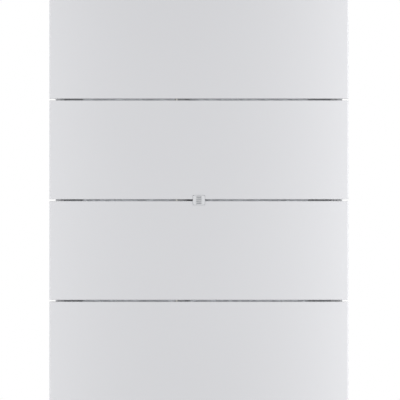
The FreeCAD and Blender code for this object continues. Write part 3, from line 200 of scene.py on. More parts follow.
def join(name, parts):
    """Joins objects' meshes into one piece. Each part's place is already in its mesh."""
    whole = bmesh.new()
    for part in parts:
        whole.from_mesh(part.data)
    piece = bpy.data.objects.new(name, bpy.data.meshes.new(name))
    whole.to_mesh(piece.data)
    whole.free()
    piece.data.materials.append(parts[0].data.materials[0])
    bpy.context.scene.collection.objects.link(piece)
    for part in parts:
        bpy.data.objects.remove(part)
    return piece


def weld_row_tree():
    """A row of weld rings along +Z in the plane X-Z, Length long."""
    tree, size = new_tree("weld_row", "Length", "Pitch", "Radius", "Rim")
    steps = add(tree, "ShaderNodeMath", {0: size["Length"], 1: size["Pitch"]}, operation="DIVIDE")
    count = add(tree, "ShaderNodeMath", {0: steps.outputs[0], 1: 1.0}, operation="ADD")
    offset = add(tree, "ShaderNodeCombineXYZ", {"Z": size["Pitch"]})
    row = add(tree, "GeometryNodeMeshLine", {"Count": count.outputs[0], "Offset": offset.outputs[0]})
    ring = add(tree, "GeometryNodeCurvePrimitiveCircle", {"Resolution": 20, "Radius": size["Radius"]})
    rim = add(tree, "GeometryNodeCurvePrimitiveCircle", {"Resolution": 6, "Radius": size["Rim"]})
    bead = add(tree, "GeometryNodeCurveToMesh", {"Curve": ring.outputs[0], "Profile Curve": rim.outputs[0]})
    flat = add(tree, "GeometryNodeTransform", {"Geometry": bead.outputs[0], "Rotation": (math.pi / 2, 0, 0)})
    row = add(tree, "GeometryNodeInstanceOnPoints", {"Points": row.outputs[0], "Instance": flat.outputs[0]})
    close_tree(tree, row.outputs[0], chassis_coat)
    return tree


weld_tree = weld_row_tree()
panel_low, panel_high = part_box("rear_panel")
panel_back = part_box("side_rail_left")[1].y + CHASSIS_SHEET
rows = []
for side in (-1, 1):
    row = grow("row", weld_tree, {
        "Length": (panel_high.z - panel_low.z) - 2 * WELD_PITCH, "Pitch": WELD_PITCH,
        "Radius": WELD_RADIUS, "Rim": WELD_RIM,
    })
    foot = (side * (panel_high.x - WELD_EDGE), panel_back, panel_low.z + WELD_PITCH)
    row.data.transform(Matrix.Translation(foot))
    rows.append(row)
spot_welds = join("spot_welds", rows)
smooth(spot_welds)
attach(spot_welds, "chassis")

# Insect screens
# Woven stainless wire behind every vent, spot-fixed inside the side rails and under the top cap, so that
# air gets in and insects don't. The weave is drawn as two crossed layers of round wire.
SCREEN_PITCH = 0.0024
SCREEN_WIRE = 0.0003
SCREEN_WIRE_GREY = "#7b7e83"
SIDE_SCREEN = (0.078, 0.086)  # depth and height of a side screen
TOP_SCREEN = (0.59, 0.084)  # width and depth of the top screen
VENT_DEPTH = -0.098  # Y of the middle of the vents


def stainless_wire():
    # Drawn stainless wire: bright, slightly dulled, too thin to need a grain of its own.
    material, tree, place = new_material("stainless_wire")
    dull = add(tree, "ShaderNodeTexNoise", {"Vector": place, "Scale": 1 / 0.006})
    rough = add(tree, "ShaderNodeMapRange", {"Value": dull.outputs["Fac"], "To Min": 0.32, "To Max": 0.5})
    close_material(tree, Base_Color=linear(SCREEN_WIRE_GREY), Metallic=1.0, Roughness=rough.outputs["Result"])
    return material


def screen_tree():
    """Two crossed layers of wire in the plane X-Y, from the origin to Length and Height."""
    tree, size = new_tree("insect_screen", "Length", "Height", "Pitch", "Wire")
    profile = add(tree, "GeometryNodeCurvePrimitiveCircle", {"Resolution": 5, "Radius": size["Wire"]})
    layers = add(tree, "GeometryNodeJoinGeometry")
    for along, across, reach, step in (("X", "Y", "Length", "Height"), ("Y", "X", "Height", "Length")):
        end = add(tree, "ShaderNodeCombineXYZ", {along: size[reach]})
        line = add(tree, "GeometryNodeCurvePrimitiveLine", {"End": end.outputs[0]})
        wire = add(tree, "GeometryNodeCurveToMesh", {
            "Curve": line.outputs[0], "Profile Curve": profile.outputs[0], "Fill Caps": True,
        })
        count = add(tree, "ShaderNodeMath", {0: size[step], 1: size["Pitch"]}, operation="DIVIDE")
        offset = add(tree, "ShaderNodeCombineXYZ", {across: size["Pitch"]})
        points = add(tree, "GeometryNodeMeshLine", {"Count": count.outputs[0], "Offset": offset.outputs[0]})
        layer = add(tree, "GeometryNodeInstanceOnPoints", {
            "Points": points.outputs[0], "Instance": wire.outputs[0],
        })
        lift = add(tree, "ShaderNodeCombineXYZ", {"Z": size["Wire"] if along == "X" else 0.0})
        moved = add(tree, "GeometryNodeTransform", {
            "Geometry": layer.outputs[0], "Translation": lift.outputs[0],
        })
        tree.links.new(moved.outputs[0], layers.inputs[0])
    close_tree(tree, layers.outputs[0], stainless_wire())
    return tree


screens = screen_tree()
rail_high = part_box("side_rail_right")[1]
web_inside = rail_high.x - CHASSIS_SHEET - 2 * SCREEN_WIRE
# turns a screen's X to Y and its Y to Z
upright = Matrix(((0, 0, 1, 0), (1, 0, 0, 0), (0, 1, 0, 0), (0, 0, 0, 1)))
for side, hand in ((-1, "left"), (1, "right")):
    parts = []
    for number in (1, 2, 3):
        cover_low, cover_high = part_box(f"cover_{number}")
        level = (cover_low.z + cover_high.z) / 2
        part = grow("part", screens, {
            "Length": SIDE_SCREEN[0], "Height": SIDE_SCREEN[1], "Pitch": SCREEN_PITCH, "Wire": SCREEN_WIRE,
        })
        corner = (side * web_inside, VENT_DEPTH - SIDE_SCREEN[0] / 2, level - SIDE_SCREEN[1] / 2)
        part.data.transform(Matrix.Translation(corner) @ upright)
        parts.append(part)
    screen = join(f"insect_screen_{hand}", parts)
    smooth(screen)
    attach(screen, "chassis")
screen = grow("insect_screen_top", screens, {
    "Length": TOP_SCREEN[0], "Height": TOP_SCREEN[1], "Pitch": SCREEN_PITCH, "Wire": SCREEN_WIRE,
})
under_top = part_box("top_cap")[1].z - CHASSIS_SHEET - 3 * SCREEN_WIRE
screen.data.transform(Matrix.Translation((-TOP_SCREEN[0] / 2, VENT_DEPTH - TOP_SCREEN[1] / 2, under_top)))
smooth(screen)
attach(screen, "chassis")

# Shelves and control case
# Three shelves carry the modules, and a folded case holds the switchgear. They are 2 mm galvanised sheet,
# left bare, and a shelf's front lip is the grey strip that shows in a seam.
GALVANISED = "#abadb1"
GALVANISED_DARK = "#a4a6aa"
SPANGLE = 0.007  # m, crystals of the zinc bath


def galvanised_sheet():
    # Hot-dip galvanised sheet: flat zinc crystals that differ a little in brightness and gloss.
    material, tree, place = new_material("galvanised_sheet")
    crystal = add(tree, "ShaderNodeTexVoronoi", {"Vector": place, "Scale": 1 / SPANGLE}, feature="F1")
    tone = add(tree, "ShaderNodeSeparateColor", {0: crystal.outputs["Color"]})
    colour = add(tree, "ShaderNodeMix", {"Factor": tone.outputs[0]}, data_type="RGBA")
    colour.inputs[6].default_value = linear(GALVANISED)
    colour.inputs[7].default_value = linear(GALVANISED_DARK)
    rough = add(tree, "ShaderNodeMapRange", {"Value": tone.outputs[1], "To Min": 0.46, "To Max": 0.58})
    close_material(tree, Base_Color=colour.outputs[2], Metallic=1.0, Roughness=rough.outputs["Result"])
    return material


finish(galvanised_sheet(), "shelf_upper", "shelf_middle", "shelf_lower", "control_case")

# Battery modules
# Each is an extruded and anodised aluminium sleeve with a moulded polycarbonate cap screwed on each end.
# Inside stand sixteen lithium iron phosphate cells, foam pads, cell links and a monitoring board.
ANODISED = "#8f9297"
DIE_LINE = 0.0012  # m, die lines along the extrusion, drawn coarser than real
CAP_BLACK = "#303134"
SPARK_GRAIN = 0.0008  # m, spark-eroded mould texture
FILM_BLUE = "#2d5f9e"
FOAM_GREY = "#46484c"
LINK_SILVER = "#c5c7ca"
BOARD_GREEN = "#1c5236"
TRACK_GREEN = "#2c6d49"


def anodised_extrusion():
    # Natural anodised aluminium: a soft grey metal, with die lines drawn out along its length.
    material, tree, place = new_material("anodised_extrusion")
    drawn = add(tree, "ShaderNodeMapping", {"Vector": place, "Scale": (2.0, 1 / DIE_LINE, 1 / DIE_LINE)})
    lines = add(tree, "ShaderNodeTexNoise", {"Vector": drawn.outputs[0], "Scale": 1.0, "Detail": 2.0})
    rough = add(tree, "ShaderNodeMapRange", {"Value": lines.outputs["Fac"], "To Min": 0.34, "To Max": 0.5})
    bump = add(tree, "ShaderNodeBump", {"Height": lines.outputs["Fac"], "Strength": 0.15, "Distance": 0.0002})
    close_material(
        tree, Base_Color=linear(ANODISED), Metallic=1.0, Roughness=rough.outputs["Result"],
        Normal=bump.outputs["Normal"],
    )
    return material


def moulded_plastic(name, colour, roughness, grain, strength):
    # Injection-moulded plastic: even colour, with the fine spark-eroded grain of its mould.
    material, tree, place = new_material(name)
    spark = add(tree, "ShaderNodeTexNoise", {"Vector": place, "Scale": 1 / grain, "Detail": 2.0})
    rough = add(tree, "ShaderNodeMapRange", {"Value": spark.outputs["Fac"]})
    rough.inputs["To Min"].default_value = roughness - 0.05
    rough.inputs["To Max"].default_value = roughness + 0.05
    bump = add(tree, "ShaderNodeBump", {
        "Height": spark.outputs["Fac"], "Strength": strength, "Distance": 0.0002,
    })
    close_material(
        tree, Base_Color=linear(colour), Roughness=rough.outputs["Result"], Normal=bump.outputs["Normal"]
    )
    return material


def printed_board():
    # Glass-fibre laminate under green solder mask, with tracks that show as slightly raised, paler lines.
    material, tree, place = new_material("board_laminate")
    tracks = add(tree, "ShaderNodeTexBrick", {"Vector": place, "Scale": 1 / 0.012, "Mortar Size": 0.04})
    tracks.inputs["Color1"].default_value = linear(BOARD_GREEN)
    tracks.inputs["Color2"].default_value = linear(BOARD_GREEN)
    tracks.inputs["Mortar"].default_value = linear(TRACK_GREEN)
    close_material(tree, Base_Color=tracks.outputs["Color"], Roughness=0.35)
    return material


black_cap = moulded_plastic("black_polycarbonate", CAP_BLACK, 0.5, SPARK_GRAIN, 0.3)
bright_link = moulded_plastic("rolled_aluminium", LINK_SILVER, 0.3, 0.004, 0.05)
bright_link.node_tree.nodes["Principled BSDF"].inputs["Metallic"].default_value = 1.0
finish(anodised_extrusion(), *[f"module_sleeve_{number}" for number in (1, 2, 3)])
finish(black_cap, *[f"module_end_caps_{number}" for number in (1, 2, 3)])
finish(moulded_plastic("cell_film", FILM_BLUE, 0.28, 0.02, 0.1), "battery_cells")
finish(moulded_plastic("silicone_foam", FOAM_GREY, 0.85, 0.0009, 0.6), "cell_pads")
finish(bright_link, "cell_links", "cell_end_plates", "output_terminals")
finish(printed_board(), "cell_boards", "control_board", "gauge_board")

# Links between the modules
# Grey power plugs and cables run down the left bay, and a thin black data cable down the right bay.
# The cables have a silicone sheath, and each end of a power cable has a shrunk-on sleeve that keeps it
# straight.
LINK_GREY = "#6a6c70"
SHEATH_GREY = "#5c5e62"
SHEATH_BLACK = "#232427"
SLEEVE_LENGTH = 0.024
SLEEVE_OUT = 0.0009  # the sleeve stands this far out from the cable


def solids_of(name):
    """The box of each separate solid in a CAD piece, as (low, high)."""
    shell = bmesh.new()
    shell.from_mesh(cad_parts[name].data)
    bmesh.ops.remove_doubles(shell, verts=shell.verts, dist=1e-6)
    left = set(shell.verts)
    boxes = []
    while left:
        seed = left.pop()
        group, edge = [seed], [seed]
        while edge:
            here = edge.pop()
            for link in here.link_edges:
                far = link.other_vert(here)
                if far in left:
                    left.remove(far)
                    group.append(far)
                    edge.append(far)
        low = Vector([min(v.co[k] for v in group) for k in range(3)])
        high = Vector([max(v.co[k] for v in group) for k in range(3)])
        boxes.append((low, high))
    shell.free()
    return sorted(boxes, key=lambda box: (round(box[0].x, 4), -box[0].z))


def new_piece(name, shape, material, angle=35):
    """Turns a bmesh into a piece at the origin, with smooth shading."""
    mesh = bpy.data.meshes.new(name)
    bmesh.ops.recalc_face_normals(shape, faces=shape.faces)
    shape.to_mesh(mesh)
    shape.free()
    mesh.materials.append(material)
    piece = bpy.data.objects.new(name, mesh)
    bpy.context.scene.collection.objects.link(piece)
    smooth(piece, angle)
    return piece


def lathe(shape, profile, matrix, steps=32):
    """Adds a closed ring, turned from (radius, height) points about its own Z, and placed by the matrix."""
    rings = []
    for step in range(steps):
        turn = 2 * math.pi * step / steps
        ring = [Vector((r * math.cos(turn), r * math.sin(turn), h)) for r, h in profile]
        rings.append([shape.verts.new(matrix @ point) for point in ring])
    for step in range(steps):
        here, there = rings[step], rings[(step + 1) % steps]
        for i in range(len(profile)):
            j = (i + 1) % len(profile)
            shape.faces.new((here[i], there[i], there[j], here[j]))


grey_plug = moulded_plastic("grey_polyamide", LINK_GREY, 0.42, SPARK_GRAIN, 0.25)
grey_sheath = moulded_plastic("grey_silicone", SHEATH_GREY, 0.55, 0.003, 0.15)
black_sheath = moulded_plastic("black_sheath", SHEATH_BLACK, 0.5, 0.003, 0.15)
finish(black_cap, "link_sockets")
finish(grey_plug, "power_plugs")
finish(grey_sheath, "power_link_cables", "gauge_lead")
finish(black_sheath, "data_link_cables")
sleeves = bmesh.new()
for low, high in solids_of("power_link_cables"):
    radius = (high.y - low.y) / 2
    middle_y = (low.y + high.y) / 2
    for end, way in ((high.z, -1), (low.z, 1)):
        x = high.x - radius
        out = radius + SLEEVE_OUT
        profile = [
            (radius, 0), (out, 0), (out, 0.7 * SLEEVE_LENGTH), (out - 0.0004, 0.9 * SLEEVE_LENGTH),
            (radius + 0.0002, SLEEVE_LENGTH), (radius - 0.0006, SLEEVE_LENGTH), (radius - 0.0006, 0),
        ]
        lathe(sleeves, profile, Matrix.Translation((x, middle_y, end)) @ Matrix.Diagonal((1, 1, way, 1)))
shrink_sleeves = new_piece("cable_shrink_sleeves", sleeves, black_sheath)
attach(shrink_sleeves, "chassis")

# Seam guards and slot inserts
# Extruded vinyl guards close the link bays behind the seams, held by a nylon clip at their outer end. The
# guards' dark grey is painted shade that stands in for the shade deep in the seam ends, and the paler end
# clips are painted light where light gets in at the open ends of the seams.
# A nylon insert and a rubber grommet fill the slot in each shelf lip, and a nylon cap covers its tongue. The
# grommet's darker grey is painted shade that stands in for the shade at the deepest end of the slot.
# painted shade: the guards' dark grey stands in for the shade deep inside the ends of the seams
GUARD_PAINTED_SHADE_GREY = "#989a9e"
GUARD_HEIGHT = 0.022
GUARD_DEEP = 0.004
GUARD_WALL = 0.0014
INSERT_GREY = "#bfc1c4"
# painted shade: the grommet's darker grey stands in for the shade at the deep end of the slot
GROMMET_PAINTED_SHADE_GREY = "#a8aaad"
# painted light: the paler end clips stand in for the light that gets into the open ends of the seams
CLIP_PAINTED_LIGHT_GREY = "#cacbce"
CAP_IVORY = "#e6e4dc"
# the end clips' length is how far the painted light reaches into each end of a seam
CLIP_LEFT, CLIP_RIGHT = 0.0085, 0.0155  # length of the end clips
CLIP_GAP = 0.0002  # between a guard or insert and what ends it
LIP_ENDS = (-0.2893, 0.2723)  # where the guards stop, just clear of the shelf lips
FLANGE = 0.0135  # front flange of a side rail, with the guard's clearance
EDGE_ROUND = 0.0004
SLOT_X = (-0.0518, -0.0344, -0.0222)  # left end, where the grommet starts, right end
SLOT_HALF = 0.0054  # half the height of an insert
TONGUE_X = (-0.057, -0.0535)
TONGUE_TIP = -0.181
CAP_HALF = 0.0021  # half the height of a tongue's cap
CAP_WALL = 0.0006


def extrude(shape, outline, axes, start, end):
    """Adds a bar: an outline in the plane of two axes, drawn out along the third."""
    along = ({0, 1, 2} - set(axes)).pop()
    ends = []
    for where in (start, end):
        ring = []
        for point in outline:
            place = [0.0, 0.0, 0.0]
            place[axes[0]], place[axes[1]], place[along] = point[0], point[1], where
            ring.append(shape.verts.new(place))
        ends.append(ring)
    shape.faces.new(ends[0])
    shape.faces.new(ends[1])
    for i in range(len(outline)):
        j = (i + 1) % len(outline)
        shape.faces.new((ends[0][i], ends[0][j], ends[1][j], ends[1][i]))


def soften(shape, radius=EDGE_ROUND):
    """Rounds every edge of a shape a little."""
    bmesh.ops.recalc_face_normals(shape, faces=shape.faces)
    bmesh.ops.bevel(shape, geom=shape.edges[:], offset=radius, segments=2, affect="EDGES", profile=0.6)


seams = [(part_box(f"cover_{n}")[0].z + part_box(f"cover_{n + 1}")[1].z) / 2 for n in (1, 2, 3)]
lip_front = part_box("side_rail_left")[0].y
flange_inside = rail_high.x - FLANGE
painted_shade_guards, painted_light_clips, inserts, painted_shade_grommets, caps = (bmesh.new() for _ in range(5))
for level in seams:
    out, back, wall = lip_front + 0.0004, lip_front + 0.0004 + GUARD_DEEP, GUARD_WALL
    high, low = level + GUARD_HEIGHT / 2, level - GUARD_HEIGHT / 2
    section = [
        (out, low), (out, high), (back, high), (back, high - wall), (out + wall, high - wall),
        (out + wall, low + wall), (back, low + wall), (back, low),
    ]
    extrude(painted_shade_guards, section, (1, 2), CLIP_LEFT - flange_inside, LIP_ENDS[0])
    extrude(painted_shade_guards, section, (1, 2), LIP_ENDS[1], flange_inside - CLIP_RIGHT)
    extrude(painted_light_clips, section, (1, 2), -flange_inside, CLIP_LEFT - flange_inside - CLIP_GAP)
    extrude(painted_light_clips, section, (1, 2), flange_inside - CLIP_RIGHT + CLIP_GAP, flange_inside)
    plug = [
        (lip_front - 0.0004, level - SLOT_HALF), (lip_front - 0.0004, level + SLOT_HALF),
        (lip_front + 0.0016, level + SLOT_HALF), (lip_front + 0.0016, level - SLOT_HALF),
    ]
    extrude(inserts, plug, (1, 2), SLOT_X[0], SLOT_X[1])
    extrude(painted_shade_grommets, plug, (1, 2), SLOT_X[1] + CLIP_GAP, SLOT_X[2])
    over = [
        (lip_front - 0.0003, level - CAP_HALF), (TONGUE_TIP - CAP_WALL, level - CAP_HALF),
        (TONGUE_TIP - CAP_WALL, level + CAP_HALF), (lip_front - 0.0003, level + CAP_HALF),
    ]
    extrude(caps, over, (1, 2), TONGUE_X[0] - CAP_WALL, TONGUE_X[1] + CAP_WALL)
# the guards carry painted shade in their dark grey, and the paler end clips carry painted light
for shape, name, colour, rough, slot in (
    (painted_shade_guards, "seam_guards_painted_shade", GUARD_PAINTED_SHADE_GREY, 0.5, "gauge_frame"),
    (painted_light_clips, "seam_guard_clips_painted_light", CLIP_PAINTED_LIGHT_GREY, 0.45, "nylon"),
    (inserts, "lip_slot_inserts", INSERT_GREY, 0.45, "nylon"),
    # the grommets carry painted shade in their darker grey
    (painted_shade_grommets, "lead_grommets_painted_shade", GROMMET_PAINTED_SHADE_GREY, 0.7, "cell_foam"),
    (caps, "cover_buffers", CAP_IVORY, 0.45, "nylon"),
):
    soften(shape)
    piece = new_piece(name, shape, moulded_plastic(f"moulded_{name}", colour, rough, 0.0012, 0.15))
    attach(piece, "chassis")

# Switchgear
# Contactors, the main fuse and the terminals stand on the back of the case. Their bodies are pale thermoset,
# and the fuse is a white ceramic barrel.
THERMOSET = "#d6d3ca"
CERAMIC = "#ece8dd"
finish(moulded_plastic("thermoset_moulding", THERMOSET, 0.45, 0.0012, 0.2), "main_contactors")
finish(moulded_plastic("glazed_ceramic", CERAMIC, 0.2, 0.01, 0.03), "main_fuse")

# Isolator and fascia
# The isolator cuts the battery off: a red knob on a steel shaft, turned a quarter turn. It passes through a
# laminate fascia plate whose dial marks and figures are printed on.
KNOB_RED = "#b4232a"
CONTROL_BLACK = "#232427"
FASCIA_WHITE = "#e3e4e5"
PRINT_INK = "#3a3c40"
PRINT_THICK = 0.00012
FIGURE_HIGH = 0.006
FIGURE_OUT = 0.0064  # from the dial ring to the middle of a figure
DIAL_GAP = 0.0032  # between the knob and its dial ring
LINE_WIDE = 0.0007
TICK_LONG = 0.0022
BUTTON_RING = 0.0135
SYMBOL_UP = 0.0215  # from the button's middle to the power symbol
SYMBOL_RADIUS = 0.0028
INLAY_WIDE = 0.0024
INLAY_LONG = 0.012
INLAY_INSET = 0.0045  # from the knob's edge to the inlay's tip

finish(moulded_plastic("red_thermoplastic", KNOB_RED, 0.32, 0.0014, 0.12), "isolator_knob")
finish(moulded_plastic("black_thermoplastic", CONTROL_BLACK, 0.45, SPARK_GRAIN, 0.25),
       "isolator_housing", "start_button_switch")
finish(zinc, "isolator_shaft")
finish(moulded_plastic("fascia_laminate", FASCIA_WHITE, 0.4, 0.002, 0.06), "control_fascia")
ink = moulded_plastic("printed_ink", PRINT_INK, 0.55, 0.001, 0.05)
white_inlay = moulded_plastic("white_inlay", "#f2f2f0", 0.4, 0.001, 0.05)

knob_low, knob_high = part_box("isolator_knob")
knob_middle = (knob_low + knob_high) / 2
knob_radius = (knob_high.z - knob_low.z) / 2
plate_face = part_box("control_fascia")[1].x

# stands a flat drawing up on the plate: its X points to the front, its Y up, and its Z out of the plate
to_fascia = Matrix(((0, 0, 1, 0), (-1, 0, 0, 0), (0, 1, 0, 0), (0, 0, 0, 1)))


def printed_arc(shape, centre, radius, width, start, end, steps):
    """Adds a raised printed arc on the fascia, between two angles from the front, in degrees."""
    whole_ring = end - start == 360
    rows = []
    for step in range(steps if whole_ring else steps + 1):
        turn = math.radians(start + (end - start) * step / steps)
        way = Vector((math.cos(turn), math.sin(turn), 0))
        corners = [(radius, 0), (radius + width, 0), (radius + width, PRINT_THICK), (radius, PRINT_THICK)]
        rows.append([shape.verts.new(centre @ to_fascia @ (way * r + Vector((0, 0, h)))) for r, h in corners])
    if whole_ring:
        rows.append(rows[0])
    for here, there in zip(rows, rows[1:]):
        for i in range(4):
            j = (i + 1) % 4
            shape.faces.new((here[i], there[i], there[j], here[j]))
    if not whole_ring:
        shape.faces.new(rows[0])
        shape.faces.new(list(reversed(rows[-1])))


def printed_figure(text, centre):
    """A figure as a thin raised mesh on the fascia, with its middle at a point."""
    letters = bpy.data.curves.new("figure", "FONT")
    letters.body = text
    letters.size = FIGURE_HIGH / 0.73
    letters.align_x, letters.align_y = "CENTER", "CENTER"
    letters.extrude = PRINT_THICK / 2
    letters.resolution_u = 4
    holder = bpy.data.objects.new("figure", letters)
    bpy.context.scene.collection.objects.link(holder)
    mesh = bpy.data.meshes.new_from_object(holder.evaluated_get(bpy.context.evaluated_depsgraph_get()))
    mesh.transform(Matrix.Translation(centre) @ to_fascia)
    bpy.data.objects.remove(holder)
    return mesh


print_lines = bmesh.new()
dial = Matrix.Translation((plate_face, knob_middle.y, knob_middle.z))
printed_arc(print_lines, dial, knob_radius + DIAL_GAP, LINE_WIDE, -4, 94, 32)
for angle in (0, 90):
    tick_start = knob_radius + DIAL_GAP + LINE_WIDE
    printed_arc(print_lines, dial, tick_start, TICK_LONG, angle - 1.4, angle + 1.4, 2)
button_low, button_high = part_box("start_button_bushing")
button_middle = (button_low + button_high) / 2
around_button = Matrix.Translation((plate_face, button_middle.y, button_middle.z))
printed_arc(print_lines, around_button, BUTTON_RING, 0.0006, 0, 360, 48)
mark = Matrix.Translation((plate_face, button_middle.y, button_middle.z + SYMBOL_UP))
printed_arc(print_lines, mark, SYMBOL_RADIUS, LINE_WIDE, 125, 415, 24)
printed_arc(print_lines, mark, 0.0012, 0.0034, 82, 98, 2)
outer = knob_radius + DIAL_GAP + FIGURE_OUT
for text, way in (("0", Vector((0, -outer, 0))), ("1", Vector((0, 0, outer)))):
    spot = Vector((plate_face + PRINT_THICK / 2, knob_middle.y, knob_middle.z)) + way
    print_lines.from_mesh(printed_figure(text, spot))
bmesh.ops.remove_doubles(print_lines, verts=print_lines.verts, dist=1e-6)
fascia_print = new_piece("fascia_print", print_lines, ink)
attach(fascia_print, "chassis")

inlay = bmesh.new()
half_wide, tip = INLAY_WIDE / 2, knob_high.z - INLAY_INSET
outline = []
for middle, start in ((tip - half_wide, 0), (tip - INLAY_LONG, 180)):
    for step in range(9):
        turn = math.radians(start + 180 * step / 8)
        outline.append((half_wide * math.cos(turn), middle + half_wide * math.sin(turn)))
face_low, face_high = knob_high.x - 0.0004, knob_high.x + 0.00015
lower = [inlay.verts.new((face_low, knob_middle.y + y, z)) for y, z in outline]
upper = [inlay.verts.new((face_high, knob_middle.y + y, z)) for y, z in outline]
inlay.faces.new(lower)
inlay.faces.new(upper)
for i in range(len(outline)):
    j = (i + 1) % len(outline)
    inlay.faces.new((lower[i], lower[j], upper[j], upper[i]))
knob_inlay = new_piece("knob_pointer_inlay", inlay, white_inlay)
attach(knob_inlay, "isolator")

# Start button
# A sprung push button wakes the unit. Its bushing and plunger are nickel-plated, turned on a lathe, so the
# rings of the tool show faintly on the cap.
NICKEL = "#c9c6c0"
TOOL_PITCH = 0.0016  # m, from one turned ring to the next, drawn coarser than real


def turned_nickel():
    # Satin nickel over turned brass: warm silver with faint concentric tool marks.
    material, tree, place = new_material("turned_nickel")
    centred = add(tree, "ShaderNodeMapping", {"Vector": place, "Location": -button_middle})
    rings = add(tree, "ShaderNodeTexWave", {
        "Vector": centred.outputs[0], "Scale": 1 / TOOL_PITCH, "Distortion": 0.4,
    }, wave_type="RINGS", rings_direction="X")
    rough = add(tree, "ShaderNodeMapRange", {"Value": rings.outputs["Fac"], "To Min": 0.22, "To Max": 0.34})
    close_material(tree, Base_Color=linear(NICKEL), Metallic=1.0, Roughness=rough.outputs["Result"])
    return material


nickel = turned_nickel()
finish(nickel, "start_button_bushing", "start_button")
finish(zinc, "start_button_spring")

# Cable glands
# Polyamide glands through the floor, two for power and two for data. Each has a hexagon body, a clamping ring
# under a fluted dome nut, and a lock nut inside the case.
GLAND_GREY = "#4d5055"
finish(moulded_plastic("gland_polyamide", GLAND_GREY, 0.42, 0.0011, 0.25),
       "gland_bodies", "gland_nuts_and_rings")

# Front covers
# Four folded aluminium trays, powder-coated in a smooth satin light grey. Each hangs on four nylon ball studs
# that are bonded inside it and snap into nylon sockets in the side rails.
COVER_GREY = "#cfcfd1"
ORANGE_PEEL = 0.0022  # m, the shallow waves of a smooth powder coat
NYLON = "#e2dfd6"


def satin_powder_coat():
    # Smooth polyester powder: satin, with the faint orange peel that all powder coats have.
    material, tree, place = new_material("satin_powder_coat")
    peel = add(tree, "ShaderNodeTexNoise", {"Vector": place, "Scale": 1 / ORANGE_PEEL, "Detail": 1.0})
    broad = add(tree, "ShaderNodeTexNoise", {"Vector": place, "Scale": 1 / HANDLING, "Detail": 1.0})
    rough = add(tree, "ShaderNodeMapRange", {"Value": broad.outputs["Fac"], "To Min": 0.44, "To Max": 0.5})
    bump = add(tree, "ShaderNodeBump", {"Height": peel.outputs["Fac"], "Strength": 0.05, "Distance": 0.0002})
    close_material(
        tree, Base_Color=linear(COVER_GREY), Roughness=rough.outputs["Result"], Normal=bump.outputs["Normal"]
    )
    return material


finish(satin_powder_coat(), *[f"cover_{number}" for number in (1, 2, 3, 4)])
finish(moulded_plastic("natural_nylon", NYLON, 0.4, 0.002, 0.1), "cover_clip_sockets",
       *[f"cover_studs_{number}" for number in (1, 2, 3, 4)])

# Damping pads
# Foil-faced butyl pads are stuck inside each cover to stop it drumming. The foil is embossed with a diamond
# grid, so it glitters a little.
COVER_SHEET = 0.002
PAD_SIZE = (0.26, 0.13, 0.0025)
PAD_CENTRES = (-0.18, 0.18)
PAD_CORNER = 0.012
EMBOSS = 0.006  # m, the diamonds of the foil
FOIL = "#c3c4c6"


def embossed_foil():
    # Aluminium foil over butyl: a bright metal broken up by its pressed diamonds.
    material, tree, place = new_material("embossed_foil")
    turned = add(tree, "ShaderNodeMapping", {"Vector": place, "Rotation": (0, math.radians(45), 0)})
    grid = add(tree, "ShaderNodeTexVoronoi", {
        "Vector": turned.outputs[0], "Scale": 1 / EMBOSS, "Randomness": 0.0,
    }, feature="F1", distance="CHEBYCHEV")
    bump = add(tree, "ShaderNodeBump", {
        "Height": grid.outputs["Distance"], "Strength": 0.5, "Distance": 0.0006,
    })
    close_material(tree, Base_Color=linear(FOIL), Metallic=1.0, Roughness=0.34, Normal=bump.outputs["Normal"])
    return material


foil = embossed_foil()
inner_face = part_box("cover_1")[0].y + COVER_SHEET
for number in (1, 2, 3, 4):
    cover_low, cover_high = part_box(f"cover_{number}")
    middle = (cover_low.z + cover_high.z) / 2
    pad = bmesh.new()
    for x in PAD_CENTRES:
        outline = []
        for corner_x, corner_z, start in ((1, 1, 0), (-1, 1, 90), (-1, -1, 180), (1, -1, 270)):
            for step in range(7):
                turn = math.radians(start + 15 * step)
                outline.append((
                    x + corner_x * (PAD_SIZE[0] / 2 - PAD_CORNER) + PAD_CORNER * math.cos(turn),
                    middle + corner_z * (PAD_SIZE[1] / 2 - PAD_CORNER) + PAD_CORNER * math.sin(turn),
                ))
        extrude(pad, outline, (0, 2), inner_face + 0.00002, inner_face + PAD_SIZE[2])
    piece = new_piece(f"damping_pads_{number}", pad, foil)
    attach(piece, f"cover_{number}")

# Charge gauge
# A small bezel on the middle shelf, with an acrylic window. Four frosted light bars stand in slits of the
# window and glow when the unit is on. Here they are off.
BEZEL_GREY = "#c2c3c5"
WINDOW_TINT = "#9fa0a3"
LIGHT_BAR = "#77797c"
finish(moulded_plastic("bezel_plastic", BEZEL_GREY, 0.3, 0.0012, 0.06), "gauge_bezel")
finish(moulded_plastic("tinted_acrylic", WINDOW_TINT, 0.12, 0.005, 0.02), "gauge_window")
finish(moulded_plastic("frosted_polycarbonate", LIGHT_BAR, 0.45, 0.0008, 0.1), "gauge_light_bars")

# Studio
# A level camera far in front of the unit, an even white surround, two tall soft lights at the sides, and a
# pale floor below the unit. The unit hangs on a wall, which is left out.
VIEW_DISTANCE = 6.5
VIEW_HEIGHT = 0.9933  # m of the front plane from the top of the picture to its bottom
VIEW_RIGHT, VIEW_UP = 0.0027, 0.0004  # the camera stands this far right of and above the middle
SURROUND = 0.55  # light that the white surround gives, of what it shows
LIGHTS = [
    # name, place, width, height, power
    ("strip_right", (0.8, -0.45, 0.0), 0.3, 3.0, 9.3),
    ("strip_left", (-0.8, -0.45, 0.0), 0.3, 3.0, 6.2),
    ("front", (0.0, -5.2, 0.0), 1.6, 1.2, 47.0),
    ("back", (0.0, 2.6, 1.2), 2.6, 1.6, 30.0),
]
FLOOR_DROP = 1.3
FLOOR_RADIUS = 2.1

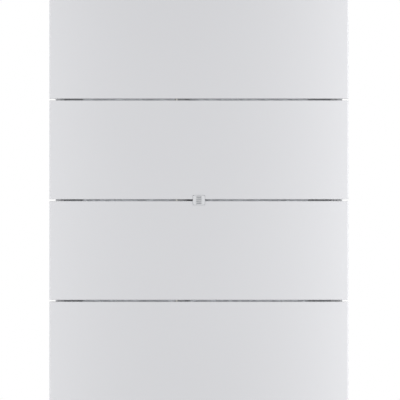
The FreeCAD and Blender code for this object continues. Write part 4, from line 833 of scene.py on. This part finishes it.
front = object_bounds()[0].y
camera = bpy.data.objects.new("camera", bpy.data.cameras.new("camera"))
camera.location = (VIEW_RIGHT, front - VIEW_DISTANCE, VIEW_UP)
camera.rotation_euler = (math.pi / 2, 0, 0)
camera.data.lens = camera.data.sensor_width * VIEW_DISTANCE / VIEW_HEIGHT
bpy.context.scene.collection.objects.link(camera)
bpy.context.scene.camera = camera

for name, place, width, height, power in LIGHTS:
    lamp = bpy.data.lights.new(name, "AREA")
    lamp.shape = "RECTANGLE"
    lamp.size, lamp.size_y = width, height
    lamp.energy = power
    holder = bpy.data.objects.new(name, lamp)
    holder.location = place
    holder.rotation_euler = (Vector((0, -0.1, 0)) - Vector(place)).to_track_quat("-Z", "Y").to_euler()
    holder.visible_camera = False
    bpy.context.scene.collection.objects.link(holder)

world = bpy.data.worlds.new("white_surround")
world.use_nodes = True
tree = world.node_tree
tree.nodes.clear()
seen = add(tree, "ShaderNodeBackground", {"Color": (1, 1, 1, 1), "Strength": 1.0})
lit = add(tree, "ShaderNodeBackground", {"Color": (0.97, 0.98, 1, 1), "Strength": SURROUND})
ray = add(tree, "ShaderNodeLightPath")
mixed = add(tree, "ShaderNodeMixShader", {
    0: ray.outputs["Is Camera Ray"], 1: lit.outputs[0], 2: seen.outputs[0],
})
add(tree, "ShaderNodeOutputWorld", {"Surface": mixed.outputs[0]})
bpy.context.scene.world = world
bpy.context.scene.view_settings.view_transform = "Standard"


def pale_floor():
    # Seamless studio paper: matt and nearly white.
    material, tree, place = new_material("studio_paper")
    fibre = add(tree, "ShaderNodeTexNoise", {"Vector": place, "Scale": 1 / 0.4})
    rough = add(tree, "ShaderNodeMapRange", {"Value": fibre.outputs["Fac"], "To Min": 0.8, "To Max": 0.9})
    close_material(tree, Base_Color=linear("#f4f4f4"), Roughness=rough.outputs["Result"])
    return material


paper = bmesh.new()
bmesh.ops.create_circle(paper, cap_ends=True, segments=96, radius=FLOOR_RADIUS)
bmesh.ops.translate(paper, verts=paper.verts, vec=(0, 0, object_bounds()[0].z - FLOOR_DROP))
floor = new_piece("floor", paper, pale_floor())
